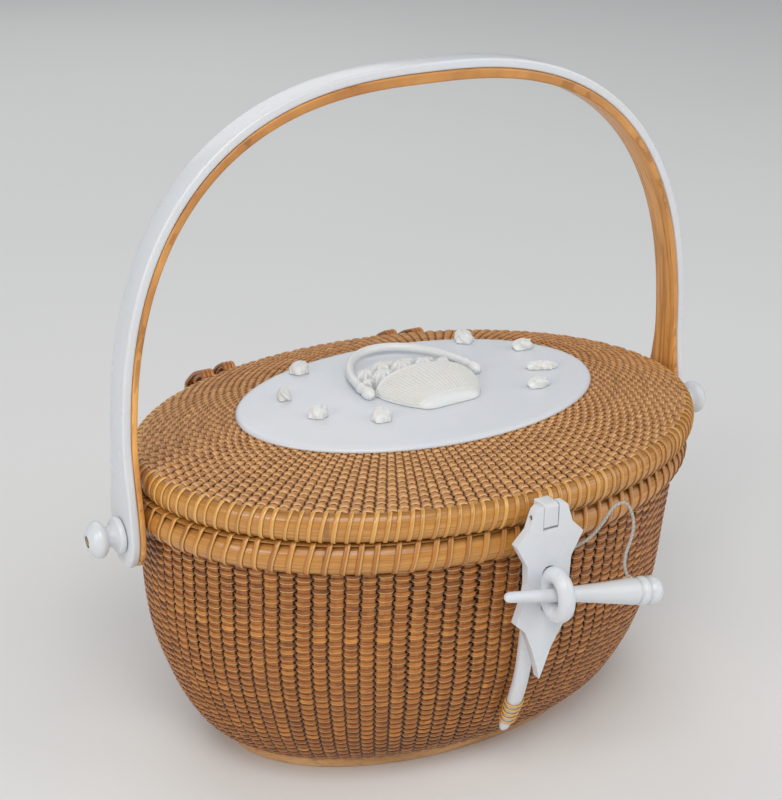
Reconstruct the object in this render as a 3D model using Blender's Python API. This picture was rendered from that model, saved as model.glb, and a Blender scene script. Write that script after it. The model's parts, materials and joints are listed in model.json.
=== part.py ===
"""Oval lidded purse basket of woven cane with a swing handle and a peg clasp.

The frame is in metres: +X along the long axis, the clasp at -Y, the hinges at +Y, +Z up, and the
origin on the ground under the middle of the base.
"""

import math

import bmesh
import bpy
from mathutils import Matrix, Vector

MM = 0.001

# Fits that every piece shares
GAP = 0.3 * MM
RUNNING_GAP = 0.15 * MM
CUT_OVERRUN = 4.0 * MM
OVAL_STEPS = 48
TURNED_STEPS = 20

# Base plate
BASE_HALF_LENGTH = 81.4 * MM
BASE_HALF_WIDTH = 47.8 * MM
BASE_EDGE_HEIGHT = 4.0 * MM
BASE_TONGUE_HEIGHT = 4.5 * MM

# Woven body wall. Each pair is (share of the height, share of the way out from base to rim).
BODY_HALF_LENGTH = 111.6 * MM
BODY_HALF_WIDTH = 84.4 * MM
BODY_HEIGHT = 115.2 * MM
BODY_WALL = 2.0 * MM
BODY_SHAPE_SHARES = (
    (0.0, 0.0),
    (0.06, 0.205),
    (0.135, 0.42),
    (0.29, 0.69),
    (0.50, 0.9),
    (0.72, 0.968),
    (0.9, 1.0),
    (1.0, 1.0),
)
# The old wall leans a little to the left. Each pair is (share of the height, share of the lean).
BODY_LEAN = -2.2 * MM
BODY_LEAN_SHARES = ((0.0, 0.0), (0.22, 0.95), (0.6, 1.3), (0.88, 0.8), (1.0, 0.8))

# Broad ribs of the woven faces, one for two staves on the wall and three on the lid, and where the
# wall's levels stand: (share of the wall's height, share of the ribs' depth).
RIB_DEPTH = 0.9 * MM
BODY_RIBS = 52
LID_RIBS = 52
BODY_LEVEL_SHARES = (
    (0.0, 1.0),
    (0.07, 1.0),
    (0.17, 1.0),
    (0.32, 1.0),
    (0.55, 1.0),
    (0.88, 1.0),
    (1.0, 0.0),
)

# The rim and the lid slope down from the clasp towards the hinges. Each pair is (share of the
# body's height, share of the slope).
RIM_SLOPE = 0.020
RIM_SLOPE_START = -90.0 * MM
BODY_SLOPE_SHARES = ((0.0, 0.0), (0.7, 0.0), (0.87, 1.0), (1.0, 1.0))

# Rim hoops, half round outside
BODY_HOOP_EDGE = 4.0 * MM
BODY_HOOP_BULGE = 0.7 * MM
LID_HOOP_EDGE = 1.5 * MM
LID_HOOP_BULGE = 1.2 * MM
INNER_HOOP_EDGE = 1.4 * MM
INNER_HOOP_BULGE = 1.2 * MM
BODY_HOOP_HEIGHT = 11.0 * MM
RIM_STRIP_THICKNESS = 0.8 * MM
RIM_STRIP_OVERHANG = 2.2 * MM

# Lid
LID_OVER_LENGTH = 1.3 * MM
LID_OVER_WIDTH = 1.6 * MM
LID_HALF_LENGTH = BODY_HALF_LENGTH + LID_OVER_LENGTH
LID_HALF_WIDTH = BODY_HALF_WIDTH + LID_OVER_WIDTH
LID_CENTRE_X = -0.6 * MM
LID_CENTRE_Y = -2.6 * MM
LID_REST_GAP = 1.4 * MM
LID_HOOP_HEIGHT = 11.3 * MM
LID_WALL = 2.0 * MM
LID_SHOULDER = 0.8 * MM
LID_RISE = 3.0 * MM
LID_DOME_LEVELS = 2
LID_INNER_HOOP_HEIGHT = 8.3 * MM
LID_HOOP_INSET = 0.5 * MM
LID_PLATE_HALF_LENGTH = 73.0 * MM
LID_PLATE_HALF_WIDTH = 47.5 * MM
LID_PLATE_THICKNESS = 3.6 * MM
PLAQUE_HALF_LENGTH = 74.8 * MM
PLAQUE_HALF_WIDTH = 49.3 * MM
PLAQUE_THICKNESS = 2.0 * MM
PLAQUE_EDGE_ROUND = 0.6 * MM

# Carved basket and shells on the plaque
CARVING_CENTRE_X = 4.0 * MM
CARVING_CENTRE_Y = 0.5 * MM
CARVING_TURN = math.radians(3.0)
CARVED_MOUTH_HALF = 21.5 * MM
CARVED_FOOT_HALF = 12.0 * MM
CARVED_DEPTH = 22.0 * MM
CARVED_RELIEF = 7.0 * MM
CARVED_LEVELS = 7
CARVED_ARCH_HALF = 24.0 * MM
CARVED_ARCH_HEIGHT = 38.0 * MM
CARVED_ARCH_RADIUS = 2.1 * MM
CARVED_ARCH_LIFT = 1.2 * MM
CARVED_ARCH_POINTS = 20
SPRAY_HALF_LENGTH = 13.5 * MM
SPRAY_HALF_WIDTH = 6.0 * MM
SPRAY_HEIGHT = 5.5 * MM
SPRAY_LOBES = 5
SPRAY_LOBE_SHARE = 0.16
SHELL_HALF_LENGTH = 4.2 * MM
SHELL_HALF_WIDTH = 3.3 * MM
SHELL_HEIGHT = 4.0 * MM
SHELL_RING_SHARES = ((0.90, 0.0), (1.0, 0.22), (0.82, 0.62), (0.45, 0.9), (0.12, 1.0))
SHELL_STEPS = 10
# (share of the plaque's half-length, share of its half-width, turn in degrees)
SHELL_PLACE_SHARES = (
    (-0.43, 0.775, 20.0),
    (-0.66, 0.35, 75.0),
    (-0.62, -0.09, -15.0),
    (-0.36, -0.38, 35.0),
    (0.585, 0.72, 90.0),
    (0.805, 0.345, -20.0),
    (0.73, -0.11, 10.0),
    (0.57, -0.415, 60.0),
)

# Swing handle: an outer ivory strip on an inner wooden one
PIVOT_DROP = 12.2 * MM
PIVOT_HEIGHT = BODY_HEIGHT - PIVOT_DROP
HANDLE_CLEARANCE = 13.4 * MM
HANDLE_HALF_SPAN = BODY_HALF_LENGTH + HANDLE_CLEARANCE
HANDLE_SPRING_RISE = 22.0 * MM
HANDLE_SPRING_HEIGHT = PIVOT_HEIGHT + HANDLE_SPRING_RISE
HANDLE_RISE = 138.2 * MM
HANDLE_ROUNDNESS = 2.58
HANDLE_TOP_WIDTH = 10.5 * MM
HANDLE_LEG_WIDTH = 13.0 * MM
EAR_WIDTH = 20.5 * MM
EAR_DROP = 12.0 * MM
EAR_FLARE_HEIGHT = 24.0 * MM
EAR_TIP_SHARE = 0.46
EAR_STATIONS = 9
ARCH_STATIONS = 16
IVORY_THICKNESS_EAR = 3.0 * MM
IVORY_THICKNESS_TOP = 3.4 * MM
WOOD_THICKNESS_EAR = 2.5 * MM
WOOD_THICKNESS_TOP = 4.0 * MM
HANDLE_CHAMFER = 0.7 * MM

# Pivots of the handle
PIN_RADIUS = 1.6 * MM
PIN_HEAD_RADIUS = 2.8 * MM
PIN_HEAD_THICKNESS = 1.0 * MM
WASHER_RADIUS = 4.6 * MM
WASHER_THICKNESS = 1.4 * MM
BUSH_RADIUS = 2.8 * MM
KNOB_DISC_RADIUS = 6.8 * MM
KNOB_DISC_THICKNESS = 2.0 * MM
KNOB_NECK_RADIUS = 3.1 * MM
KNOB_HEAD_RADIUS = 6.4 * MM
KNOB_LENGTH = 13.2 * MM

# Rear hinges: cane loops on a short pin
HINGE_STAND = 6.6 * MM
HINGE_DROP = 1.5 * MM
HINGE_AXIS_Y = BODY_HALF_WIDTH + HINGE_STAND
HINGE_AXIS_Z = BODY_HEIGHT - HINGE_DROP
HINGE_X = 46.0 * MM
HINGE_LOOP_SPACING = 5.6 * MM
HINGE_PIN_RADIUS = 1.5 * MM
HINGE_PIN_HALF_LENGTH = 9.0 * MM
LOOP_TUBE_RADIUS = 1.1 * MM
LOOP_FAR_RADIUS = 1.6 * MM
LOOP_END_POINTS = 7
BODY_LOOP_DROP = 7.5 * MM
LID_LOOP_LIFT = 8.6 * MM

# Clasp
CLASP_X = -5.1 * MM
HASP_THICKNESS = 3.4 * MM
HASP_PIN_LIFT = 6.4 * MM
HASP_PIN_STAND = 5.6 * MM
HASP_PIN_RADIUS = 0.9 * MM
HASP_EAR_RADIUS = 4.4 * MM
HASP_EAR_HALF = 6.8 * MM
HASP_HALF_WIDTH = 14.0 * MM
HASP_LENGTH = 65.0 * MM
KNUCKLE_HALF = 3.0 * MM
NOTCH_DEPTH = 5.5 * MM
BLOCK_TOP = 4.2 * MM
BLOCK_FOOT = 5.2 * MM
SLOT_HALF_WIDTH = 2.9 * MM
RING_DROP = 28.8 * MM
RING_STAND = 5.1 * MM
RING_HALF_DEPTH = 6.7 * MM
RING_HALF_HEIGHT = 7.9 * MM
RING_TUBE_RADIUS = 2.5 * MM
RING_POINTS = 24
# Half of the hasp's outline, from its ears down to its tail: (share of the half-width, share of the
# length below the pin). The left side's lower point stands out further than the right one's.
HASP_SIDE_SHARES = ((0.65, 0.065), (1.0, 0.14), (0.66, 0.275), (0.63, 0.4), (0.68, 0.46))
HASP_LEFT_SHARES = ((0.93, 0.62), (0.66, 0.675), (0.44, 0.79), (0.25, 0.92))
HASP_RIGHT_SHARES = ((0.76, 0.6), (0.49, 0.695), (0.17, 0.81), (-0.05, 0.94))
HASP_TIP_SHARE = -0.16

# Catch rod that climbs the front of the body, and its binding
ROD_RADIUS = 2.9 * MM
ROD_TIP_RADIUS = 1.3 * MM
ROD_STAND = 1.9 * MM
ROD_HEAD_RADIUS = 2.6 * MM
ROD_TOP_DROP = 26.5 * MM
ROD_FOOT_HEIGHT = 21.0 * MM
ROD_TAPER_HEIGHT = 24.0 * MM
ROD_BEND_LENGTH = 16.0 * MM
ROD_STATIONS = 13
ROD_STEPS = 12
BINDING_TUBE_RADIUS = 0.5 * MM
BINDING_TURNS = 4
BINDING_PITCH = 2.3 * MM
BINDING_TOP_HEIGHT = 37.0 * MM
BINDING_POINTS_PER_TURN = 24

# Peg, turned, drooping to the right: (share of the length, share of the largest radius)
PEG_LENGTH = 69.0 * MM
PEG_RADIUS = 4.75 * MM
PEG_DROOP = math.radians(12.8)
PEG_RING_SHARE = 0.325
PEG_PROFILE_SHARES = (
    (0.0, 0.16),
    (0.006, 0.28),
    (0.018, 0.37),
    (0.042, 0.41),
    (0.28, 0.5),
    (0.37, 0.56),
    (0.63, 0.74),
    (0.8, 0.87),
    (0.832, 0.91),
    (0.842, 0.76),
    (0.854, 0.74),
    (0.865, 0.95),
    (0.884, 1.0),
    (0.898, 0.9),
    (0.91, 0.76),
    (0.923, 0.9),
    (0.95, 1.0),
    (0.978, 0.88),
    (0.995, 0.55),
    (1.0, 0.2),
)

# Peg cord, from the back of the hasp over to the peg: millimetres across from the clasp, in
# front of the lid (minus) and above the hasp's pin
CORD_RADIUS = 0.6 * MM
CORD_POINT_STEP = 2.6 * MM
CORD_ROUTE_OFFSETS = (
    (6.1, -2.7, -22.5),
    (9.6, -1.8, -20.9),
    (14.3, -1.6, -18.8),
    (19.3, -2.4, -16.7),
    (22.9, -3.0, -13.9),
    (26.3, -3.6, -9.4),
    (28.7, -4.1, -5.8),
    (31.2, -4.6, -4.2),
    (33.2, -5.2, -4.0),
    (35.1, -5.8, -6.1),
    (36.4, -6.6, -10.3),
    (36.1, -7.4, -14.7),
    (34.3, -8.2, -19.0),
    (32.4, -8.8, -22.6),
    (31.8, -9.3, -27.1),
    (33.0, -9.8, -31.9),
)

# Heights that follow from the sizes above
BODY_HOOP_LOW = BODY_HEIGHT - BODY_HOOP_HEIGHT
RIM_TOP = BODY_HEIGHT + GAP + RIM_STRIP_THICKNESS
LID_LOW = RIM_TOP + LID_REST_GAP
HASP_PIN_Z = LID_LOW + HASP_PIN_LIFT
LID_HOOP_TOP = LID_LOW + LID_HOOP_HEIGHT
LID_PLATE_TOP = LID_HOOP_TOP + LID_SHOULDER + LID_RISE - LID_HOOP_INSET
PLAQUE_LOW = LID_PLATE_TOP + GAP
PLAQUE_TOP = PLAQUE_LOW + PLAQUE_THICKNESS
CARVING_LOW = PLAQUE_TOP + GAP
BODY_HOOP_OUT = GAP + BODY_HOOP_EDGE + BODY_HOOP_BULGE
LID_HOOP_OUT = GAP + LID_HOOP_EDGE + LID_HOOP_BULGE
LID_FRONT = LID_HALF_WIDTH + LID_HOOP_OUT - LID_CENTRE_Y
RIM_CENTRE = (BODY_LEAN * BODY_LEAN_SHARES[-1][1], 0.0)
CORD_DATUM = Vector((CLASP_X, -LID_FRONT, HASP_PIN_Z))
CORD_ROUTE = tuple(CORD_DATUM + Vector(offset) * MM for offset in CORD_ROUTE_OFFSETS)
LID_CENTRE = (LID_CENTRE_X, LID_CENTRE_Y)
HASP_MID_Y = -(LID_FRONT + HASP_PIN_STAND)
RING_CENTRE = Vector(
    (CLASP_X, HASP_MID_Y - HASP_THICKNESS / 2 - RING_STAND, HASP_PIN_Z - RING_DROP)
)
PEG_AXIS = Vector((math.cos(PEG_DROOP), 0.0, -math.sin(PEG_DROOP)))


def material(name, colour, roughness, metallic=0.0):
    """A plain Principled material."""
    made = bpy.data.materials.new(name)
    made.use_nodes = True
    shader = made.node_tree.nodes["Principled BSDF"]
    shader.inputs["Base Color"].default_value = (*colour, 1.0)
    shader.inputs["Roughness"].default_value = roughness
    shader.inputs["Metallic"].default_value = metallic
    made.diffuse_color = (*colour, 1.0)
    return made


def add_object(name, mesh, finish, parent=None):
    """Puts a mesh in the scene under the name of its piece, on its parent's axis if it has one."""
    mesh.name = name
    piece = bpy.data.objects.new(name, mesh)
    bpy.context.scene.collection.objects.link(piece)
    mesh.materials.append(finish)
    if parent is not None:
        piece.parent = parent
        piece.matrix_parent_inverse = Matrix.Translation(-parent.location)
    return piece


def add_pivot(name, location, parent=None):
    """An empty on a joint's axis, which carries the pieces that turn there."""
    pivot = bpy.data.objects.new(name, None)
    pivot.location = location
    bpy.context.scene.collection.objects.link(pivot)
    if parent is not None:
        pivot.parent = parent
        pivot.matrix_parent_inverse = Matrix.Translation(-parent.location)
    bpy.context.view_layer.update()
    return pivot


def mesh_from(name, bm, smooth_angle=math.radians(40.0)):
    """Closes a bmesh into a mesh with its faces out and its round sides smooth."""
    bmesh.ops.recalc_face_normals(bm, faces=bm.faces)
    mesh = bpy.data.meshes.new(name)
    bm.to_mesh(mesh)
    bm.free()
    mesh.shade_smooth()
    mesh.set_sharp_from_angle(angle=smooth_angle)
    return mesh


def loft(name, rings, closed_path=False):
    """Skins rings of equally many points, with flat ends unless the path closes on itself."""
    bm = bmesh.new()
    rows = [[bm.verts.new(point) for point in ring] for ring in rings]
    count = len(rows[0])
    pairs = list(zip(rows, rows[1:]))
    if closed_path:
        pairs.append((rows[-1], rows[0]))
    for low, high in pairs:
        for i in range(count):
            j = (i + 1) % count
            bm.faces.new((low[i], low[j], high[j], high[i]))
    if not closed_path:
        bm.faces.new(rows[0])
        bm.faces.new(rows[-1])
    return mesh_from(name, bm)


def even_angles(half_length, half_width, count):
    """Angles that part an oval's outline into equal steps."""
    fine = 16 * count
    places = [(half_length * math.cos(t), half_width * math.sin(t)) for t in fine_turns(fine)]
    walked = [0.0]
    for a, b in zip(places, places[1:] + places[:1]):
        walked.append(walked[-1] + math.dist(a, b))
    angles = []
    k = 0
    for i in range(count):
        goal = walked[-1] * i / count
        while walked[k + 1] < goal:
            k += 1
        share = (goal - walked[k]) / (walked[k + 1] - walked[k])
        angles.append(2 * math.pi * (k + share) / fine)
    return angles


def fine_turns(count):
    """Angles that part a full turn into equal steps."""
    return [2 * math.pi * i / count for i in range(count)]


def oval(half_length, half_width, height, middle=(0.0, 0.0), slope_share=0.0, angles=None):
    """One level of an oval piece, round its own middle and with its share of the rim's slope."""
    points = []
    for angle in angles or fine_turns(OVAL_STEPS):
        x = middle[0] + half_length * math.cos(angle)
        y = middle[1] + half_width * math.sin(angle)
        drop = slope_share * RIM_SLOPE * (y - RIM_SLOPE_START)
        points.append(Vector((x, y, height - drop)))
    return points


def oval_band(name, outline):
    """Sweeps a closed outline of the arguments of oval() once round."""
    return loft(name, [oval(*station) for station in outline], closed_path=True)


def ribbed_band(name, outline, ribs):
    """Sweeps a closed outline once round, with each station's grooves between the ribs.

    A station is oval()'s arguments and then how far its grooves go inwards and down.
    """
    angles = even_angles(*outline[0][:2], 2 * ribs)
    rings = []
    for half_length, half_width, height, middle, slope_share, inset, drop in outline:
        level = (middle, slope_share, angles)
        crest = oval(half_length, half_width, height, *level)
        groove = oval(half_length - inset, half_width - inset, height - drop, *level)
        rings.append([b if i % 2 else a for i, (a, b) in enumerate(zip(crest, groove))])
    return loft(name, rings, closed_path=True)


def oval_plate(name, levels):
    """A solid oval plate from its levels, bottom to top."""
    return loft(name, [oval(*station) for station in levels])


def turned(name, profile, start, axis, bore=None, steps=TURNED_STEPS):
    """Turns (distance along the axis, radius) about an axis, with a through bore if one is given."""
    side = axis.orthogonal().normalized()
    other = axis.cross(side)
    stations = list(profile)
    if bore is not None:
        stations += [(profile[-1][0], bore), (profile[0][0], bore)]
    rings = []
    for along, radius in stations:
        centre = start + axis * along
        turns = (2 * math.pi * i / steps for i in range(steps))
        rings.append([centre + (side * math.cos(t) + other * math.sin(t)) * radius for t in turns])
    return loft(name, rings, closed_path=bore is not None)


def cutter(name, mesh):
    """A helper that cuts other pieces and isn't part of the basket."""
    mesh.name = name
    helper = bpy.data.objects.new(name, mesh)
    helper.hide_render = True
    helper.display_type = "WIRE"
    bpy.context.scene.collection.objects.link(helper)
    return helper


def cut(piece, helper):
    """Takes the helper's space out of a piece."""
    modifier = piece.modifiers.new("cut", "BOOLEAN")
    modifier.operation = "DIFFERENCE"
    modifier.solver = "EXACT"
    modifier.object = helper


def smooth_value(shares, at):
    """A smooth curve through (place, value) pairs that doesn't overshoot."""
    places = [place for place, _ in shares]
    values = [value for _, value in shares]
    last = len(places) - 1
    slopes = [
        (values[i + 1] - values[i]) / (places[i + 1] - places[i]) for i in range(last)
    ]
    tangents = [slopes[0]]
    for before, after in zip(slopes, slopes[1:]):
        tangents.append(0.0 if before * after <= 0 else 2 * before * after / (before + after))
    tangents.append(slopes[-1])
    i = max(0, min(last - 1, sum(place <= at for place in places) - 1))
    width = places[i + 1] - places[i]
    t = (at - places[i]) / width
    return (
        values[i] * (2 * t**3 - 3 * t**2 + 1)
        + tangents[i] * width * (t**3 - 2 * t**2 + t)
        + values[i + 1] * (3 * t**2 - 2 * t**3)
        + tangents[i + 1] * width * (t**3 - t**2)
    )


def body_oval(height):
    """Half length and half width of the body's outer face at a height."""
    share = smooth_value(BODY_SHAPE_SHARES, height / BODY_HEIGHT)
    half_length = BASE_HALF_LENGTH + (BODY_HALF_LENGTH - BASE_HALF_LENGTH) * share
    half_width = BASE_HALF_WIDTH + (BODY_HALF_WIDTH - BASE_HALF_WIDTH) * share
    return half_length, half_width


def body_middle(height):
    """Where the middle of the leaning body stands at a height."""
    return BODY_LEAN * smooth_value(BODY_LEAN_SHARES, height / BODY_HEIGHT), 0.0


def make_base(finishes):
    """The wooden base: its edge shows under the weave and its tongue fills the wall's foot."""
    foot_length, foot_width = body_oval(BASE_EDGE_HEIGHT)
    middle = body_middle(BASE_EDGE_HEIGHT)
    inset = BODY_WALL + GAP
    top = BASE_EDGE_HEIGHT + BASE_TONGUE_HEIGHT
    levels = (
        (BASE_HALF_LENGTH, BASE_HALF_WIDTH, 0.0),
        (foot_length, foot_width, BASE_EDGE_HEIGHT, middle),
        (foot_length - inset, foot_width - inset, BASE_EDGE_HEIGHT, middle),
        (foot_length - inset, foot_width - inset, top, middle),
    )
    return add_object("base_plate", oval_plate("base_plate", levels), finishes["wood"])


def make_body(finishes):
    """The woven wall, open at the top and seated round the base's tongue."""
    low = BASE_EDGE_HEIGHT + GAP
    outside = []
    inside = []
    for level_share, rib_share in BODY_LEVEL_SHARES:
        height = low + (BODY_HEIGHT - low) * level_share
        half_length, half_width = body_oval(height)
        level = (height, body_middle(height), smooth_value(BODY_SLOPE_SHARES, height / BODY_HEIGHT))
        outside.append((half_length, half_width, *level, RIB_DEPTH * rib_share, 0.0))
        inside.append((half_length - BODY_WALL, half_width - BODY_WALL, *level, 0.0, 0.0))
    shell = ribbed_band("body_shell", outside + inside[::-1], BODY_RIBS)
    return add_object("body_shell", shell, finishes["cane"])


def hoop_outline(wall, low, high, edge, bulge, middle):
    """A half-round hoop against a wall's face. A negative edge and bulge put it inside the wall."""
    half_length, half_width = wall
    waist = (low + high) / 2
    half_height = (high - low) / 2
    face = math.copysign(GAP, edge)
    outline = [
        (half_length + face, half_width + face, low, middle, 1.0),
        (half_length + face, half_width + face, high, middle, 1.0),
    ]
    for turn in (90.0, 54.0, 18.0, -18.0, -54.0, -90.0):
        angle = math.radians(turn)
        out = face + edge + bulge * math.cos(angle)
        height = waist + half_height * math.sin(angle)
        outline.append((half_length + out, half_width + out, height, middle, 1.0))
    return outline


def make_rim(finishes):
    """Outer and inner hoops of the body and the strip that covers the top between them."""
    face = (BODY_HALF_LENGTH, BODY_HALF_WIDTH)
    back_face = (BODY_HALF_LENGTH - BODY_WALL, BODY_HALF_WIDTH - BODY_WALL)
    heights = (BODY_HOOP_LOW, BODY_HEIGHT)
    outer = oval_band(
        "body_outer_hoop",
        hoop_outline(face, *heights, BODY_HOOP_EDGE, BODY_HOOP_BULGE, RIM_CENTRE),
    )
    inner = oval_band(
        "body_inner_hoop",
        hoop_outline(back_face, *heights, -INNER_HOOP_EDGE, -INNER_HOOP_BULGE, RIM_CENTRE),
    )
    out = GAP + RIM_STRIP_OVERHANG
    back = -(BODY_WALL + GAP + RIM_STRIP_OVERHANG)
    low = BODY_HEIGHT + GAP
    corners = ((out, low), (out, RIM_TOP), (back, RIM_TOP), (back, low))
    strip = oval_band(
        "body_rim_strip",
        [(BODY_HALF_LENGTH + x, BODY_HALF_WIDTH + x, z, RIM_CENTRE, 1.0) for x, z in corners],
    )
    return [
        add_object("body_outer_hoop", outer, finishes["hoop"]),
        add_object("body_inner_hoop", inner, finishes["hoop"]),
        add_object("body_rim_strip", strip, finishes["hoop"]),
    ]


def make_lid(finishes, pivot):
    """The woven lid with its hoops, its wooden centre plate and the plaque on top."""
    flange_low = LID_LOW + GAP
    shoulder = LID_HOOP_TOP - LID_HOOP_INSET
    dome = shoulder + LID_SHOULDER
    inner_length = LID_PLATE_HALF_LENGTH + GAP
    inner_width = LID_PLATE_HALF_WIDTH + GAP
    eased_length = LID_HALF_LENGTH - LID_SHOULDER / 2
    eased_width = LID_HALF_WIDTH - LID_SHOULDER / 2
    top = [
        (LID_HALF_LENGTH, LID_HALF_WIDTH, flange_low, LID_CENTRE, 1.0),
        (LID_HALF_LENGTH, LID_HALF_WIDTH, shoulder - LID_SHOULDER, LID_CENTRE, 1.0),
        (eased_length, eased_width, shoulder, LID_CENTRE, 1.0),
    ]
    for level in range(LID_DOME_LEVELS + 1):
        share = level / LID_DOME_LEVELS
        half_length = LID_HALF_LENGTH - LID_WALL
        half_width = LID_HALF_WIDTH - LID_WALL
        top.append(
            (
                half_length + (inner_length - half_length) * share,
                half_width + (inner_width - half_width) * share,
                dome + LID_RISE * math.sin(share * math.pi / 2),
                (LID_CENTRE_X * (1 - share), LID_CENTRE_Y * (1 - share)),
                1 - share,
            )
        )
    dome_under = [(a, b, z - LID_WALL, *rest) for a, b, z, *rest in reversed(top[3:])]
    inner_a = LID_HALF_LENGTH - LID_WALL
    inner_b = LID_HALF_WIDTH - LID_WALL
    # The dome's lowest ring under the shoulder stands inside the flange's inner face.
    step_a = inner_a - LID_WALL / 4
    step_b = inner_b - LID_WALL / 4
    under = dome_under[:-1]
    under.append((step_a, step_b, dome - LID_WALL, LID_CENTRE, 1.0))
    under.append((inner_a, inner_b, shoulder - LID_WALL, LID_CENTRE, 1.0))
    under.append((inner_a, inner_b, flange_low, LID_CENTRE, 1.0))
    stations = [(*station, 0.0, 0.0) for station in top[:3]]
    stations += [(*station, 0.0, RIB_DEPTH) for station in top[3:]]
    stations += [(*station, 0.0, 0.0) for station in under]
    woven = ribbed_band("lid_shell", stations, LID_RIBS)
    shell = add_object("lid_shell", woven, finishes["cane"], pivot)

    face = (LID_HALF_LENGTH, LID_HALF_WIDTH)
    outer = hoop_outline(
        face, LID_LOW, LID_HOOP_TOP, LID_HOOP_EDGE, LID_HOOP_BULGE, LID_CENTRE
    )
    add_object("lid_outer_hoop", oval_band("lid_outer_hoop", outer), finishes["hoop"], pivot)
    low = LID_LOW + GAP
    high = low + LID_INNER_HOOP_HEIGHT
    back_face = (inner_a, inner_b)
    inner = hoop_outline(
        back_face, low, high, -INNER_HOOP_EDGE, -INNER_HOOP_BULGE, LID_CENTRE
    )
    add_object("lid_inner_hoop", oval_band("lid_inner_hoop", inner), finishes["hoop"], pivot)

    plate_low = LID_PLATE_TOP - LID_PLATE_THICKNESS
    plate = oval_plate(
        "lid_wood_plate",
        [(LID_PLATE_HALF_LENGTH, LID_PLATE_HALF_WIDTH, z) for z in (plate_low, LID_PLATE_TOP)],
    )
    add_object("lid_wood_plate", plate, finishes["wood"], pivot)

    bevel = PLAQUE_EDGE_ROUND
    levels = []
    for inset, z in (
        (bevel, PLAQUE_LOW),
        (0.0, PLAQUE_LOW + bevel),
        (0.0, PLAQUE_TOP - bevel),
        (bevel, PLAQUE_TOP),
    ):
        levels.append((PLAQUE_HALF_LENGTH - inset, PLAQUE_HALF_WIDTH - inset, z))
    add_object("lid_plaque", oval_plate("lid_plaque", levels), finishes["ivory"], pivot)
    return shell


def carving_point(x, y, z):
    """A point of the carving, from its own straight frame to its turned place on the plaque."""
    c, s = math.cos(CARVING_TURN), math.sin(CARVING_TURN)
    return Vector((CARVING_CENTRE_X + c * x - s * y, CARVING_CENTRE_Y + s * x + c * y, z))


def make_carvings(finishes, pivot):
    """A small basket in half relief with its bow, the spray in its mouth, and eight shells."""
    arc = 12
    rings = []
    for level in range(CARVED_LEVELS):
        share = level / (CARVED_LEVELS - 1)
        half = CARVED_FOOT_HALF + (CARVED_MOUTH_HALF - CARVED_FOOT_HALF) * math.sqrt(share)
        relief = CARVED_RELIEF * (0.62 + 0.38 * math.sin(share * math.pi * 0.75))
        y = -CARVED_DEPTH * (1 - share)
        ring = []
        for i in range(arc + 1):
            angle = math.pi * i / arc
            height = relief * math.sin(angle) ** 0.8 if 0 < i < arc else 0.0
            ring.append(carving_point(-half * math.cos(angle), y, CARVING_LOW + height))
        rings.append(ring)
    body = loft("carved_basket", rings)
    add_object("carved_basket", body, finishes["carving"], pivot)

    bow = []
    for i in range(CARVED_ARCH_POINTS + 1):
        angle = math.pi * i / CARVED_ARCH_POINTS
        x = -CARVED_ARCH_HALF * math.cos(angle)
        y = CARVED_ARCH_HEIGHT * math.sin(angle)
        lift = CARVED_ARCH_LIFT * math.sin(angle)
        centre = carving_point(x, y, CARVING_LOW + CARVED_ARCH_RADIUS + lift)
        outward = carving_point(x * CARVED_ARCH_HEIGHT, y * CARVED_ARCH_HALF, 0.0)
        outward = (outward - carving_point(0.0, 0.0, 0.0)).normalized()
        ring = []
        for k in range(8):
            turn = 2 * math.pi * k / 8
            side = outward * math.cos(turn) + Vector((0.0, 0.0, math.sin(turn)))
            ring.append(centre + side * CARVED_ARCH_RADIUS)
        bow.append(ring)
    add_object("carved_basket_bow", loft("carved_basket_bow", bow), finishes["carving"], pivot)

    spray = []
    for along, height in ((0.95, 0.0), (1.0, 0.3), (0.8, 0.65), (0.5, 0.9), (0.15, 1.0)):
        ring = []
        for k in range(20):
            turn = 2 * math.pi * k / 20
            swell = along * (1 + SPRAY_LOBE_SHARE * math.cos(SPRAY_LOBES * turn))
            x = SPRAY_HALF_LENGTH * swell * math.cos(turn)
            y = SPRAY_HALF_WIDTH * swell * math.sin(turn)
            y += SPRAY_HALF_WIDTH * (1 + SPRAY_LOBE_SHARE) + GAP
            ring.append(carving_point(x, y, CARVING_LOW + SPRAY_HEIGHT * height))
        spray.append(ring)
    add_object("carved_spray", loft("carved_spray", spray), finishes["carving"], pivot)

    for number, (x_share, y_share, degrees) in enumerate(SHELL_PLACE_SHARES, 1):
        turn = math.radians(degrees)
        x0 = PLAQUE_HALF_LENGTH * x_share
        y0 = PLAQUE_HALF_WIDTH * y_share
        rings = []
        for spread, height in SHELL_RING_SHARES:
            ring = []
            for k in range(SHELL_STEPS):
                angle = 2 * math.pi * k / SHELL_STEPS
                u = SHELL_HALF_LENGTH * spread * math.cos(angle)
                v = SHELL_HALF_WIDTH * spread * math.sin(angle)
                x = x0 + u * math.cos(turn) - v * math.sin(turn)
                y = y0 + u * math.sin(turn) + v * math.cos(turn)
                ring.append(Vector((x, y, CARVING_LOW + SHELL_HEIGHT * height)))
            rings.append(ring)
        name = f"plaque_shell_{number}"
        add_object(name, loft(name, rings), finishes["carving"], pivot)


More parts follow.
